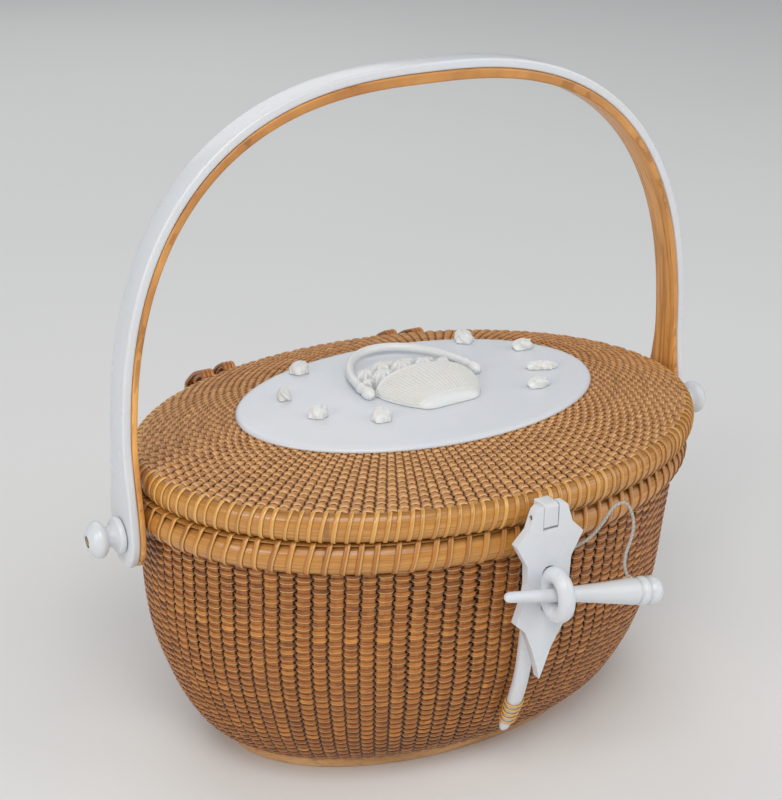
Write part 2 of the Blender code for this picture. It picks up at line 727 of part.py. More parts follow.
def handle_stations():
    """Outer edge point, outward normal, width, and how far up the arch, along the whole handle."""
    low = PIVOT_HEIGHT - EAR_DROP
    leg = []
    for i in range(EAR_STATIONS):
        share = i / EAR_STATIONS
        z = low + (HANDLE_SPRING_HEIGHT - low) * share**1.15
        if z < PIVOT_HEIGHT:
            down = (PIVOT_HEIGHT - z) / EAR_DROP
            round_share = math.sqrt(1 - down * down * (1 - EAR_TIP_SHARE**2))
            width = EAR_WIDTH * round_share
        else:
            rise = min(1.0, (z - PIVOT_HEIGHT) / EAR_FLARE_HEIGHT)
            ease = rise * rise * (3 - 2 * rise)
            width = EAR_WIDTH + (HANDLE_LEG_WIDTH - EAR_WIDTH) * ease
        leg.append((Vector((HANDLE_HALF_SPAN, 0.0, z)), Vector((1.0, 0.0, 0.0)), width, 0.0))
    for i in range(ARCH_STATIONS + 1):
        turn = math.pi / 2 * i / ARCH_STATIONS
        power = 2 / HANDLE_ROUNDNESS
        c = max(0.0, math.cos(turn)) ** power if i < ARCH_STATIONS else 0.0
        s = math.sin(turn) ** power
        x = HANDLE_HALF_SPAN * c
        z = HANDLE_SPRING_HEIGHT + HANDLE_RISE * s
        normal = Vector(
            (
                c ** (HANDLE_ROUNDNESS - 1) / HANDLE_HALF_SPAN,
                0.0,
                s ** (HANDLE_ROUNDNESS - 1) / HANDLE_RISE,
            )
        ).normalized()
        up = i / ARCH_STATIONS
        width = HANDLE_LEG_WIDTH + (HANDLE_TOP_WIDTH - HANDLE_LEG_WIDTH) * up
        leg.append((Vector((x, 0.0, z)), normal, width, up))
    flip = Vector((-1.0, 1.0, 1.0))
    other = [(p * flip, n * flip, width, up) for p, n, width, up in reversed(leg[:-1])]
    return leg + other


def make_handle(finishes, pivot):
    """The two bent strips of the handle, bored at the ears for the pivot pins."""

    def strip(name, start_ear, start_top, thick_ear, thick_top, outer_chamfer):
        rings = []
        for edge, normal, width, up in handle_stations():
            start = start_ear + (start_top - start_ear) * up
            thick = thick_ear + (thick_top - thick_ear) * up
            half = width / 2
            chamfer = HANDLE_CHAMFER
            inner_chamfer = HANDLE_CHAMFER if not outer_chamfer else GAP
            over = chamfer if outer_chamfer else GAP
            section = (
                (-half, over),
                (-half + over, 0.0),
                (half - over, 0.0),
                (half, over),
                (half, thick - inner_chamfer),
                (half - inner_chamfer, thick),
                (-half + inner_chamfer, thick),
                (-half, thick - inner_chamfer),
            )
            ring = []
            for across, depth in section:
                ring.append(edge + Vector((0.0, across, 0.0)) - normal * (start + depth))
            rings.append(ring)
        return loft(name, rings)

    ivory = add_object(
        "handle_ivory",
        strip("handle_ivory", 0.0, 0.0, IVORY_THICKNESS_EAR, IVORY_THICKNESS_TOP, True),
        finishes["ivory"],
        pivot,
    )
    wood = add_object(
        "handle_wood",
        strip(
            "handle_wood",
            IVORY_THICKNESS_EAR + GAP,
            IVORY_THICKNESS_TOP + GAP,
            WOOD_THICKNESS_EAR,
            WOOD_THICKNESS_TOP,
            False,
        ),
        finishes["wood"],
        pivot,
    )
    return ivory, wood


def make_pivots(finishes, wall, outer_hoop, inner_hoop, handle):
    """Pins through the ears and the wall, each with a knob, a bush and an inner washer."""
    ear_inner = HANDLE_HALF_SPAN - IVORY_THICKNESS_EAR - WOOD_THICKNESS_EAR - GAP
    knob_in = HANDLE_HALF_SPAN + GAP
    knob_out = knob_in + KNOB_LENGTH
    bore = PIN_RADIUS + RUNNING_GAP
    for side_name, side in (("left", -1.0), ("right", 1.0)):
        axis = Vector((side, 0.0, 0.0))
        centre = Vector((0.0, 0.0, PIVOT_HEIGHT))
        wall_out = BODY_HALF_LENGTH + side * RIM_CENTRE[0]
        hoop_inner = wall_out - BODY_WALL - GAP - INNER_HOOP_EDGE - INNER_HOOP_BULGE
        washer_out = hoop_inner - GAP
        washer_in = washer_out - WASHER_THICKNESS
        head_out = washer_in - GAP
        pin = turned(
            f"pivot_pin_{side_name}",
            (
                (head_out - PIN_HEAD_THICKNESS, PIN_HEAD_RADIUS / 2),
                (head_out - PIN_HEAD_THICKNESS * 0.5, PIN_HEAD_RADIUS),
                (head_out, PIN_HEAD_RADIUS),
                (head_out, PIN_RADIUS),
                (knob_out - GAP, PIN_RADIUS),
            ),
            centre,
            axis,
        )
        add_object(f"pivot_pin_{side_name}", pin, finishes["brass"])
        washer = turned(
            f"pivot_washer_{side_name}",
            ((washer_in, WASHER_RADIUS), (washer_out, WASHER_RADIUS)),
            centre,
            axis,
            bore,
        )
        add_object(f"pivot_washer_{side_name}", washer, finishes["ivory"])
        bush = turned(
            f"pivot_bush_{side_name}",
            ((wall_out + GAP, BUSH_RADIUS), (ear_inner - GAP, BUSH_RADIUS)),
            centre,
            axis,
            bore,
        )
        add_object(f"pivot_bush_{side_name}", bush, finishes["ivory"])
        neck = knob_in + KNOB_DISC_THICKNESS
        head = KNOB_LENGTH - KNOB_DISC_THICKNESS
        profile = (
            (knob_in, KNOB_DISC_RADIUS * 0.94),
            (knob_in + KNOB_DISC_THICKNESS * 0.3, KNOB_DISC_RADIUS),
            (knob_in + KNOB_DISC_THICKNESS * 0.7, KNOB_DISC_RADIUS),
            (neck, KNOB_DISC_RADIUS * 0.82),
            (neck + head * 0.12, KNOB_NECK_RADIUS),
            (neck + head * 0.24, KNOB_NECK_RADIUS),
            (neck + head * 0.38, KNOB_HEAD_RADIUS * 0.82),
            (neck + head * 0.52, KNOB_HEAD_RADIUS),
            (neck + head * 0.72, KNOB_HEAD_RADIUS * 0.97),
            (neck + head * 0.9, KNOB_HEAD_RADIUS * 0.72),
            (knob_out, KNOB_HEAD_RADIUS * 0.4),
        )
        knob = turned(f"pivot_knob_{side_name}", profile, centre, axis, bore)
        add_object(f"pivot_knob_{side_name}", knob, finishes["ivory"])

        reach = KNOB_LENGTH + HANDLE_HALF_SPAN + CUT_OVERRUN
        through = turned(
            f"pin_hole_{side_name}",
            ((hoop_inner - CUT_OVERRUN, bore), (reach, bore)),
            centre,
            axis,
        )
        hole = cutter(f"pin_hole_{side_name}", through)
        notch = turned(
            f"bush_notch_{side_name}",
            (
                (wall_out - BODY_WALL / 2, BUSH_RADIUS + GAP),
                (HANDLE_HALF_SPAN, BUSH_RADIUS + GAP),
            ),
            centre,
            axis,
        )
        relief = cutter(f"bush_notch_{side_name}", notch)
        cut(wall, hole)
        cut(inner_hoop, hole)
        cut(outer_hoop, relief)
        for strip in handle:
            cut(strip, hole)


def hoop_face_y(wall, out, middle, x):
    """How far back a hoop's fattest line stands at a place along X."""
    half_length, half_width = wall
    along = (x - middle[0]) / (half_length + out)
    return middle[1] + (half_width + out) * math.sqrt(1 - along * along)


def loop_points(x, near, far, near_radius, far_radius):
    """The middle line of a long loop that runs round two places in one upright plane."""
    along = (near - far).normalized()
    across = Vector((0.0, -along.z, along.y))
    points = []
    for centre, radius, out in ((near, near_radius, 1.0), (far, far_radius, -1.0)):
        for i in range(LOOP_END_POINTS):
            turn = math.pi * i / (LOOP_END_POINTS - 1) - math.pi / 2
            step = along * math.cos(turn) + across * math.sin(turn)
            points.append(centre + step * radius * out)
    return [Vector((x, point.y, point.z)) for point in points]


def tube(name, points, radius, finish, parent, closed=False, resolution=1):
    """A round tube along given points."""
    curve = bpy.data.curves.new(name, "CURVE")
    curve.dimensions = "3D"
    curve.bevel_depth = radius
    curve.bevel_resolution = resolution
    curve.use_fill_caps = not closed
    spline = curve.splines.new("POLY")
    spline.points.add(len(points) - 1)
    for slot, point in zip(spline.points, points):
        slot.co = (*point, 1.0)
    spline.use_cyclic_u = closed
    return add_object(name, curve, finish, parent)


def make_hinges(finishes, pivot):
    """Two hinges at the back: one loop on the body and two on the lid, all round a short pin."""
    near_radius = HINGE_PIN_RADIUS + GAP + LOOP_TUBE_RADIUS
    seat = GAP + LOOP_TUBE_RADIUS + LOOP_FAR_RADIUS
    for side_name, side in (("left", -1.0), ("right", 1.0)):
        middle = side * HINGE_X
        start = Vector((middle - HINGE_PIN_HALF_LENGTH, HINGE_AXIS_Y, HINGE_AXIS_Z))
        length = 2 * HINGE_PIN_HALF_LENGTH
        pin = turned(
            f"hinge_pin_{side_name}",
            ((0.0, HINGE_PIN_RADIUS), (length, HINGE_PIN_RADIUS)),
            start,
            Vector((1.0, 0.0, 0.0)),
            steps=12,
        )
        add_object(f"hinge_pin_{side_name}", pin, finishes["brass"])
        near = Vector((middle, HINGE_AXIS_Y, HINGE_AXIS_Z))
        wall = (BODY_HALF_LENGTH, BODY_HALF_WIDTH)
        inner_x = side * (HINGE_X - LOOP_TUBE_RADIUS)
        face = hoop_face_y(wall, BODY_HOOP_OUT, RIM_CENTRE, inner_x)
        far = Vector((middle, face + seat, HINGE_AXIS_Z - BODY_LOOP_DROP))
        name = f"body_hinge_loop_{side_name}"
        points = loop_points(middle, near, far, near_radius, LOOP_FAR_RADIUS)
        tube(name, points, LOOP_TUBE_RADIUS, finishes["lacing"], None, closed=True)
        for place, offset in (("inner", -1.0), ("outer", 1.0)):
            x = middle + side * offset * HINGE_LOOP_SPACING
            wall = (LID_HALF_LENGTH, LID_HALF_WIDTH)
            face = hoop_face_y(wall, LID_HOOP_OUT, LID_CENTRE, x - side * LOOP_TUBE_RADIUS)
            near = Vector((x, HINGE_AXIS_Y, HINGE_AXIS_Z))
            far = Vector((x, face + seat, HINGE_AXIS_Z + LID_LOOP_LIFT))
            name = f"lid_hinge_loop_{side_name}_{place}"
            points = loop_points(x, near, far, near_radius, LOOP_FAR_RADIUS)
            tube(name, points, LOOP_TUBE_RADIUS, finishes["lacing"], pivot, closed=True)


def extruded(name, outline, start, end, axis):
    """A flat outline of points in the plane square to an axis, drawn out from start to end."""
    low = [point + axis * start for point in outline]
    high = [point + axis * end for point in outline]
    return loft(name, [low, high])


def make_hasp(finishes, lid_pivot, hasp_pivot):
    """The block on the lid's rim, the pin, the swinging plate and the ring that stands in it."""
    forward = Vector((0.0, -1.0, 0.0))
    across = Vector((1.0, 0.0, 0.0))
    half = HASP_THICKNESS / 2
    back = -HASP_MID_Y - LID_FRONT - GAP
    block_outline = (
        (-back, BLOCK_TOP),
        (half * 0.3, BLOCK_TOP),
        (half, BLOCK_TOP * 0.78),
        (half, -BLOCK_FOOT * 0.8),
        (half * 0.6, -BLOCK_FOOT * 0.94),
        (-half, -BLOCK_FOOT),
        (-back, -BLOCK_FOOT),
    )
    outline = [Vector((0.0, HASP_MID_Y - y, HASP_PIN_Z + z)) for y, z in block_outline]
    block = add_object(
        "hasp_block",
        extruded("hasp_block", outline, CLASP_X - KNUCKLE_HALF, CLASP_X + KNUCKLE_HALF, across),
        finishes["ivory"],
        lid_pivot,
    )

    ear_top = math.sqrt(HASP_EAR_RADIUS**2 - half**2)
    right = [(HASP_EAR_HALF * 0.8, ear_top), (HASP_EAR_HALF, ear_top * 0.7)]
    left = [(-x, z) for x, z in right]
    for x_share, z_share in HASP_SIDE_SHARES:
        right.append((HASP_HALF_WIDTH * x_share, -HASP_LENGTH * z_share))
        left.append((-HASP_HALF_WIDTH * x_share, -HASP_LENGTH * z_share))
    right += [(HASP_HALF_WIDTH * x, -HASP_LENGTH * z) for x, z in HASP_RIGHT_SHARES]
    left += [(-HASP_HALF_WIDTH * x, -HASP_LENGTH * z) for x, z in HASP_LEFT_SHARES]
    tip = [(HASP_HALF_WIDTH * HASP_TIP_SHARE, -HASP_LENGTH)]
    flat = right + tip + left[::-1]
    outline = [Vector((CLASP_X + x, 0.0, HASP_PIN_Z + z)) for x, z in flat]
    plate = add_object(
        "hasp_plate",
        extruded("hasp_plate", outline, -HASP_MID_Y - half, -HASP_MID_Y + half, forward),
        finishes["ivory"],
        hasp_pivot,
    )

    notch_half = KNUCKLE_HALF + GAP
    notch = [
        Vector((CLASP_X + x, 0.0, HASP_PIN_Z + z))
        for x, z in (
            (-notch_half, -NOTCH_DEPTH),
            (notch_half, -NOTCH_DEPTH),
            (notch_half, HASP_EAR_RADIUS + CUT_OVERRUN),
            (-notch_half, HASP_EAR_RADIUS + CUT_OVERRUN),
        )
    ]
    deep = half + CUT_OVERRUN
    notch_mesh = extruded("hasp_notch", notch, -HASP_MID_Y - deep, -HASP_MID_Y + deep, forward)
    cut(plate, cutter("hasp_notch", notch_mesh))

    reach = RING_STAND / (RING_HALF_DEPTH + RING_TUBE_RADIUS)
    slot_half = (RING_HALF_HEIGHT + RING_TUBE_RADIUS) * math.sqrt(1 - reach * reach) + 2 * GAP
    straight = slot_half - SLOT_HALF_WIDTH
    slot = []
    for end in (1.0, -1.0):
        for i in range(7):
            turn = math.pi * i / 6
            x = CLASP_X + SLOT_HALF_WIDTH * math.cos(turn) * end
            z = RING_CENTRE.z + (straight + SLOT_HALF_WIDTH * math.sin(turn)) * end
            slot.append(Vector((x, 0.0, z)))
    slot_mesh = extruded("hasp_slot", slot, -HASP_MID_Y - deep, -HASP_MID_Y + deep, forward)
    cut(plate, cutter("hasp_slot", slot_mesh))

    centre = Vector((CLASP_X, HASP_MID_Y, HASP_PIN_Z))
    pin = turned(
        "hasp_pin",
        ((-HASP_EAR_HALF, HASP_PIN_RADIUS), (HASP_EAR_HALF, HASP_PIN_RADIUS)),
        centre,
        across,
        steps=16,
    )
    add_object("hasp_pin", pin, finishes["brass"], lid_pivot)
    bore = HASP_PIN_RADIUS + RUNNING_GAP
    wide = HASP_HALF_WIDTH + CUT_OVERRUN
    hole = turned("hasp_pin_hole", ((-wide, bore), (wide, bore)), centre, across, steps=16)
    helper = cutter("hasp_pin_hole", hole)
    cut(plate, helper)
    cut(block, helper)

    points = []
    for i in range(RING_POINTS):
        turn = 2 * math.pi * i / RING_POINTS
        points.append(
            RING_CENTRE
            + Vector((0.0, RING_HALF_DEPTH * math.cos(turn), RING_HALF_HEIGHT * math.sin(turn)))
        )
    tube(
        "catch_ring",
        points,
        RING_TUBE_RADIUS,
        finishes["ivory"],
        hasp_pivot,
        closed=True,
        resolution=2,
    )


def rod_centre(height):
    """Middle of the catch rod at a height of the wall behind it, and the wall's outward normal."""
    step = 0.5 * MM
    low = body_oval(height - step)[1]
    high = body_oval(height + step)[1]
    wall = body_oval(height)[1]
    normal = Vector((0.0, -2 * step, low - high)).normalized()
    away = ROD_STAND + ROD_RADIUS
    return Vector((CLASP_X, -wall, height)) + normal * away, normal


def rod_radius(height):
    """The rod's radius, which tapers towards its foot."""
    share = min(1.0, max(0.0, (height - ROD_FOOT_HEIGHT) / ROD_TAPER_HEIGHT))
    return ROD_TIP_RADIUS + (ROD_RADIUS - ROD_TIP_RADIUS) * share**0.6


def make_catch(finishes):
    """The rod on the body's front, bent out to the hasp's ring, and the binding round its foot."""
    top = HASP_PIN_Z - ROD_TOP_DROP
    ring_back = RING_CENTRE.y + RING_HALF_DEPTH + RING_TUBE_RADIUS
    head = Vector((CLASP_X, ring_back + GAP + ROD_HEAD_RADIUS, top))
    straight_top = top - ROD_BEND_LENGTH
    rings = []
    for i in range(ROD_STATIONS):
        height = ROD_FOOT_HEIGHT + (straight_top - ROD_FOOT_HEIGHT) * i / (ROD_STATIONS - 1)
        centre, normal = rod_centre(height)
        rings.append((centre, normal, rod_radius(height)))
    last, normal, _ = rings[-1]
    for share in (0.35, 0.65, 0.88, 0.97, 1.0):
        place = last.lerp(head, share)
        ease = share * share * (3 - 2 * share)
        place.y = last.y + (head.y - last.y) * ease
        if share <= 0.88:
            radius = ROD_RADIUS + (ROD_HEAD_RADIUS - ROD_RADIUS) * share
        else:
            radius = ROD_HEAD_RADIUS * (0.82 if share < 1.0 else 0.4)
        rings.append((place, Vector((0.0, -1.0, 0.0)), radius))
    across = Vector((1.0, 0.0, 0.0))
    skin = []
    for centre, normal, radius in rings:
        turns = (2 * math.pi * k / ROD_STEPS for k in range(ROD_STEPS))
        skin.append(
            [centre + (across * math.cos(t) + normal * math.sin(t)) * radius for t in turns]
        )
    add_object("catch_rod", loft("catch_rod", skin), finishes["ivory"])

    points = []
    total = BINDING_TURNS * BINDING_POINTS_PER_TURN
    for i in range(total + 1):
        turn = 2 * math.pi * i / BINDING_POINTS_PER_TURN
        height = BINDING_TOP_HEIGHT - BINDING_PITCH * i / BINDING_POINTS_PER_TURN
        centre, normal = rod_centre(height)
        reach = rod_radius(height) + GAP + BINDING_TUBE_RADIUS
        points.append(centre + (across * math.cos(turn) + normal * math.sin(turn)) * reach)
    tube("catch_binding", points, BINDING_TUBE_RADIUS, finishes["lacing"], None)
    least = min(
        (points[i] - points[j]).length - 2 * BINDING_TUBE_RADIUS
        for i in range(len(points))
        for j in range(i + BINDING_POINTS_PER_TURN // 2, len(points))
    )
    print(f"catch_binding: least gap to itself {least / MM:.2f} mm")


def make_peg(finishes, pivot):
    """The tapered peg through the ring."""
    start = RING_CENTRE - PEG_AXIS * PEG_LENGTH * PEG_RING_SHARE
    profile = [(PEG_LENGTH * along, PEG_RADIUS * share) for along, share in PEG_PROFILE_SHARES]
    add_object("peg", turned("peg", profile, start, PEG_AXIS, steps=16), finishes["ivory"], pivot)


def smooth_route(route):
    """Points at an even step along a smooth curve through the route's points."""
    dense = []
    padded = [2 * route[0] - route[1], *route, 2 * route[-1] - route[-2]]
    for a, b, c, d in zip(padded, padded[1:], padded[2:], padded[3:]):
        for k in range(16):
            t = k / 16
            dense.append(
                0.5
                * (
                    2 * b
                    + (c - a) * t
                    + (2 * a - 5 * b + 4 * c - d) * t * t
                    + (3 * b - 3 * c + d - a) * t**3
                )
            )
    dense.append(route[-1].copy())
    length = sum((q - p).length for p, q in zip(dense, dense[1:]))
    count = max(2, round(length / CORD_POINT_STEP))
    points = [dense[0]]
    walked = 0.0
    for p, q in zip(dense, dense[1:]):
        walked += (q - p).length
        if walked >= length * len(points) / count and len(points) < count:
            points.append(q)
    points.append(dense[-1])
    return points


def make_cord(finishes, pivot):
    """The thin cord that keeps the peg on the basket."""
    tube(
        "peg_cord",
        smooth_route(CORD_ROUTE),
        CORD_RADIUS,
        finishes["cord"],
        pivot,
    )


def main():
    """Builds the basket, lid, handle and clasp in that order."""
    for old in list(bpy.data.objects):
        bpy.data.objects.remove(old)
    finishes = {
        "cane": material("cane", (0.42, 0.22, 0.09), 0.5),
        "hoop": material("hoop_cane", (0.6, 0.36, 0.13), 0.35),
        "lacing": material("lacing_cane", (0.36, 0.17, 0.06), 0.45),
        "wood": material("oak", (0.45, 0.26, 0.12), 0.45),
        "ivory": material("ivory", (0.8, 0.8, 0.77), 0.3),
        "carving": material("carved_ivory", (0.8, 0.77, 0.68), 0.4),
        "brass": material("brass", (0.62, 0.5, 0.26), 0.35, 1.0),
        "cord": material("cord", (0.6, 0.58, 0.52), 0.8),
    }
    lid_pivot = add_pivot("lid_axis", (0.0, HINGE_AXIS_Y, HINGE_AXIS_Z))
    handle_pivot = add_pivot("handle_axis", (0.0, 0.0, PIVOT_HEIGHT))
    hasp_pivot = add_pivot("hasp_axis", (CLASP_X, HASP_MID_Y, HASP_PIN_Z), lid_pivot)
    peg_pivot = add_pivot("peg_axis", RING_CENTRE, hasp_pivot)

    make_base(finishes)
    wall = make_body(finishes)
    outer_hoop, inner_hoop, _ = make_rim(finishes)
    make_lid(finishes, lid_pivot)
    make_carvings(finishes, lid_pivot)
    handle = make_handle(finishes, handle_pivot)
    make_pivots(finishes, wall, outer_hoop, inner_hoop, handle)
    make_hinges(finishes, lid_pivot)
    make_hasp(finishes, lid_pivot, hasp_pivot)
    make_catch(finishes)
    make_peg(finishes, peg_pivot)
    make_cord(finishes, peg_pivot)
    bpy.context.view_layer.update()


main()
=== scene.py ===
"""Dresses the oval lidded purse basket: woven cane walls, lashed hoops, ivory mounts and a peg clasp.

Everything is in metres in the frame of the solids: +X along the long axis, the clasp at -Y, the
hinges at +Y, +Z up, and the origin on the ground under the middle of the base.
"""

import json
import logging
import math
from dataclasses import dataclass, field
from enum import Enum
from typing import Any, Optional, Sequence

import bmesh
import bpy
import numpy as np
from mathutils import Matrix, Vector

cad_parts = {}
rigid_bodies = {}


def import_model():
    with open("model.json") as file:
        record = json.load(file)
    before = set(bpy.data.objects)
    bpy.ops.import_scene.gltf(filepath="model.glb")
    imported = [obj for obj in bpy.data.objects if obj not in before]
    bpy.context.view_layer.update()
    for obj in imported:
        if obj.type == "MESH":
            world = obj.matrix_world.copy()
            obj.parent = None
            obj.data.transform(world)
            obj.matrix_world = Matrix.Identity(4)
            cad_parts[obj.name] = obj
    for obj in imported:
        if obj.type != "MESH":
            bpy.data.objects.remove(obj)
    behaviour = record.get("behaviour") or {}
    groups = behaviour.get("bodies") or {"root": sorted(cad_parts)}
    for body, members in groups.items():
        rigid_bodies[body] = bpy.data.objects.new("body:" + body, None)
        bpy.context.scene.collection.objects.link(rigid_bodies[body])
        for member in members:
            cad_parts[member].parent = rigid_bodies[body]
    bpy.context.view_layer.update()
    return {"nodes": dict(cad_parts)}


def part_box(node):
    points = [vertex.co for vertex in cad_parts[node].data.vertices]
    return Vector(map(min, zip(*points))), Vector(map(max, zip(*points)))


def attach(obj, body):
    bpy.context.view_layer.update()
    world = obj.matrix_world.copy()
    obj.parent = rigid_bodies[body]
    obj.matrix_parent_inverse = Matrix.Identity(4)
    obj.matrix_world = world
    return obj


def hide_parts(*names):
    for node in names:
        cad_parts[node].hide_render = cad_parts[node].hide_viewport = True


LOG = logging.getLogger("purse_basket")
MM = 0.001
SEED = 1850
Colour = tuple[float, float, float]


class Body(Enum):
    """The moving bodies that a piece can ride on."""

    BASKET = "basket"
    LID = "lid"
    HANDLE = "handle"
    HASP = "hasp"
    PEG = "peg"


class Slot(Enum):
    """The finishes that the record lists."""

    CANE = "cane"
    HOOP = "hoop_cane"
    LACING = "lacing_cane"
    OAK = "oak"
    IVORY = "ivory"
    CARVING = "carved_ivory"
    BRASS = "brass"
    CORD = "cord"


class Sock:
    """A node's output that takes part in Python arithmetic."""

    def __init__(self, nodes: "Nodes", socket: bpy.types.NodeSocket) -> None:
        """Keeps the socket and the tree that it belongs to."""
        self.nodes = nodes
        self.socket = socket

    def __add__(self, other: Any) -> "Sock":
        """The sum, as a Math node."""
        return self.nodes.math("ADD", self, other)

    __radd__ = __add__

    def __mul__(self, other: Any) -> "Sock":
        """The product, as a Math node."""
        return self.nodes.math("MULTIPLY", self, other)

    __rmul__ = __mul__

    def __sub__(self, other: Any) -> "Sock":
        """The difference, as a Math node."""
        return self.nodes.math("SUBTRACT", self, other)

    def __rsub__(self, other: Any) -> "Sock":
        """The difference the other way round, as a Math node."""
        return self.nodes.math("SUBTRACT", other, self)

    def clamped(self) -> "Sock":
        """The value held between 0 and 1."""
        return self.nodes.math("ADD", self, 0.0, clamp=True)


class Nodes:
    """Adds nodes to one tree."""

    def __init__(self, tree: bpy.types.NodeTree) -> None:
        """Keeps the tree."""
        self.tree = tree

    def add(
        self,
        kind: str,
        settings: Optional[dict[str, Any]] = None,
        values: Optional[dict[Any, Any]] = None,
        stops: Optional[Sequence[tuple[float, Colour]]] = None,
    ) -> bpy.types.Node:
        """Adds a node.

        Args:
            kind: The node's type.
            settings: Its own settings, set before its sockets.
            values: What each socket gets, by the socket's name or number.
            stops: The stops of a colour ramp.

        Returns:
            The node.
        """
        node = self.tree.nodes.new(kind)
        for name, setting in (settings or {}).items():
            setattr(node, name, setting)
        if stops is not None:
            ramp = node.color_ramp
            while len(ramp.elements) < len(stops):
                ramp.elements.new(0.5)
            for element, (place, colour) in zip(ramp.elements, stops):
                element.position = place
                element.color = (*colour, 1.0)
        self.fill(node, values or {})
        return node

    def fill(self, node: bpy.types.Node, values: dict[Any, Any]) -> None:
        """Links or sets a node's sockets, by name or number."""
        for name, value in values.items():
            socket = node.inputs[name]
            if isinstance(value, Sock):
                self.tree.links.new(value.socket, socket)
            elif isinstance(value, bpy.types.NodeSocket):
                self.tree.links.new(value, socket)
            else:
                socket.default_value = value

    def math(self, operation: str, first: Any, second: Any, clamp: bool = False) -> Sock:
        """Adds a Math node on two values or sockets and returns its result."""
        settings = {"operation": operation, "use_clamp": clamp}
        node = self.add("ShaderNodeMath", settings, {0: first, 1: second})
        return Sock(self, node.outputs[0])

    def out(self, node: bpy.types.Node, name: Any = 0) -> Sock:
        """A node's output, ready for arithmetic."""
        return Sock(self, node.outputs[name])

    def mix(self, factor: Any, first: Any, second: Any) -> Sock:
        """Adds a Mix node on two colours and returns its result."""
        ends = [end if isinstance(end, Sock) else (*end, 1.0) for end in (first, second)]
        values = {0: factor, 6: ends[0], 7: ends[1]}
        return self.out(self.add("ShaderNodeMix", {"data_type": "RGBA"}, values), 2)

    def ramp(self, value: Sock, stops: Sequence[tuple[float, Colour]]) -> Sock:
        """Adds a colour ramp on a value and returns its colour."""
        return self.out(self.add("ShaderNodeValToRGB", None, {0: value}, stops))

    def attribute(self, name: str) -> Sock:
        """A number that the mesh carries under a name."""
        return self.out(self.add("ShaderNodeAttribute", {"attribute_name": name}), "Fac")

    def vector(self, x: Any, y: Any, z: Any) -> Sock:
        """Three numbers as one vector."""
        return self.out(self.add("ShaderNodeCombineXYZ", None, {0: x, 1: y, 2: z}))

    def noise(self, vector: Sock, detail: float) -> Sock:
        """Noise between about 0 and 1."""
        values = {"Vector": vector, "Scale": 1.0, "Detail": detail}
        return self.out(self.add("ShaderNodeTexNoise", None, values), "Fac")

    def cloud(self, scale: Colour, detail: float) -> Sock:
        """Noise in object coordinates, stretched by a scale."""
        coordinates = self.add("ShaderNodeTexCoord").outputs["Object"]
        placed = self.add("ShaderNodeMapping", None, {"Vector": coordinates, "Scale": scale})
        return self.noise(self.out(placed), detail)

    def bump(self, height: Sock, strength: float, distance: float) -> Sock:
        """A normal from a height."""
        values = {"Strength": strength, "Distance": distance, "Height": height}
        return self.out(self.add("ShaderNodeBump", None, values), "Normal")


@dataclass(frozen=True)
class Finish:
    """A material, built from what the sockets of its Principled shader get."""

    name: str

    def sockets(self, nodes: Nodes) -> dict[str, Any]:
        """What the shader's sockets get, by their names."""
        raise NotImplementedError

    def build(self) -> bpy.types.Material:
        """Makes the material."""
        made = bpy.data.materials.new(self.name)
        made.use_nodes = True
        nodes = Nodes(made.node_tree)
        nodes.fill(made.node_tree.nodes["Principled BSDF"], self.sockets(nodes))
        return made


@dataclass(frozen=True)
class CaneFinish(Finish):
    """Split cane that follows the strand: its own grain and joints, painted shade at its edges and where it
    dives behind a stave, and a pale line along one edge that is partly pith and partly painted highlight.
    """

    stops: tuple[tuple[float, Colour], ...]
    tint_share: float = 0.7
    roughness: float = 0.42
    coat: float = 0.15
    fibre_width: float = 0.30
    fibre_length: float = 14.0 * MM
    fibre_share: float = 0.35
    # Strength of the painted shade at the strand's edges.
    edge_shade: float = 0.35
    dive_shade_strength: float = 0.92
    bump: float = 0.35
    node_every: float = 0.0
    # A pale line along one edge: partly the paler pith of the split edge, partly painted highlight.
    pith_and_highlight_edge: float = 0.0
    pale: Colour = (0.86, 0.52, 0.20)

    def sockets(self, nodes: Nodes) -> dict[str, Any]:
        """What the shader's sockets get, by their names."""
        along = nodes.attribute("along")
        across = nodes.attribute("across")
        tint = nodes.attribute("tint")
        dive_shade = nodes.attribute("dive_shade")
        run = along * (1 / self.fibre_length)
        fibres = nodes.noise(nodes.vector(run, across * (1 / self.fibre_width), tint * 91.0), 2.0)
        patches = nodes.noise(nodes.vector(run * 0.6, across * 0.4, tint * 57.0), 2.0)
        value = tint * self.tint_share + (1 - self.tint_share) * 0.5
        value = value + (fibres - 0.5) * self.fibre_share + (patches - 0.5) * 0.35
        colour = nodes.ramp(value.clamped(), self.stops)
        # Painted shade: the colour darkens towards both edges of the section, where the strand turns away
        # and meets its neighbours.
        edge = nodes.math("POWER", nodes.math("ABSOLUTE", across, 0.0), 3.0).clamped()
        dark = self.stops[0][1]
        shade = tuple(c * 0.25 for c in dark)
        colour = nodes.mix(edge * self.edge_shade, colour, shade)
        # Pale line along one edge of the strand: partly the paler pith of the split cane, partly a painted
        # highlight where that edge catches light.
        if self.pith_and_highlight_edge:
            line = ((across - 0.2) * 7.0).clamped() * (1 - ((across - 0.72) * 6.0).clamped())
            colour = nodes.mix(line * self.pith_and_highlight_edge, colour, self.pale)
        # Painted shade where the strand dives behind a stave, darkening the gaps in the weave.
        colour = nodes.mix((dive_shade * self.dive_shade_strength).clamped(), colour, shade)
        height = fibres
        if self.node_every:
            wave = nodes.math("FRACT", along * (1 / self.node_every) + tint * 7.0, 0.0)
            line = nodes.math("LESS_THAN", wave, 0.018)
            colour = nodes.mix(line * 0.55, colour, dark)
            height = height - line * 0.8
        rough = (self.roughness + (patches - 0.5) * 0.25).clamped()
        return {
            "Base Color": colour,
            "Roughness": rough,
            "Normal": nodes.bump(height, self.bump, 0.12 * MM),
            "Coat Weight": self.coat,
            "Coat Roughness": 0.25,
        }


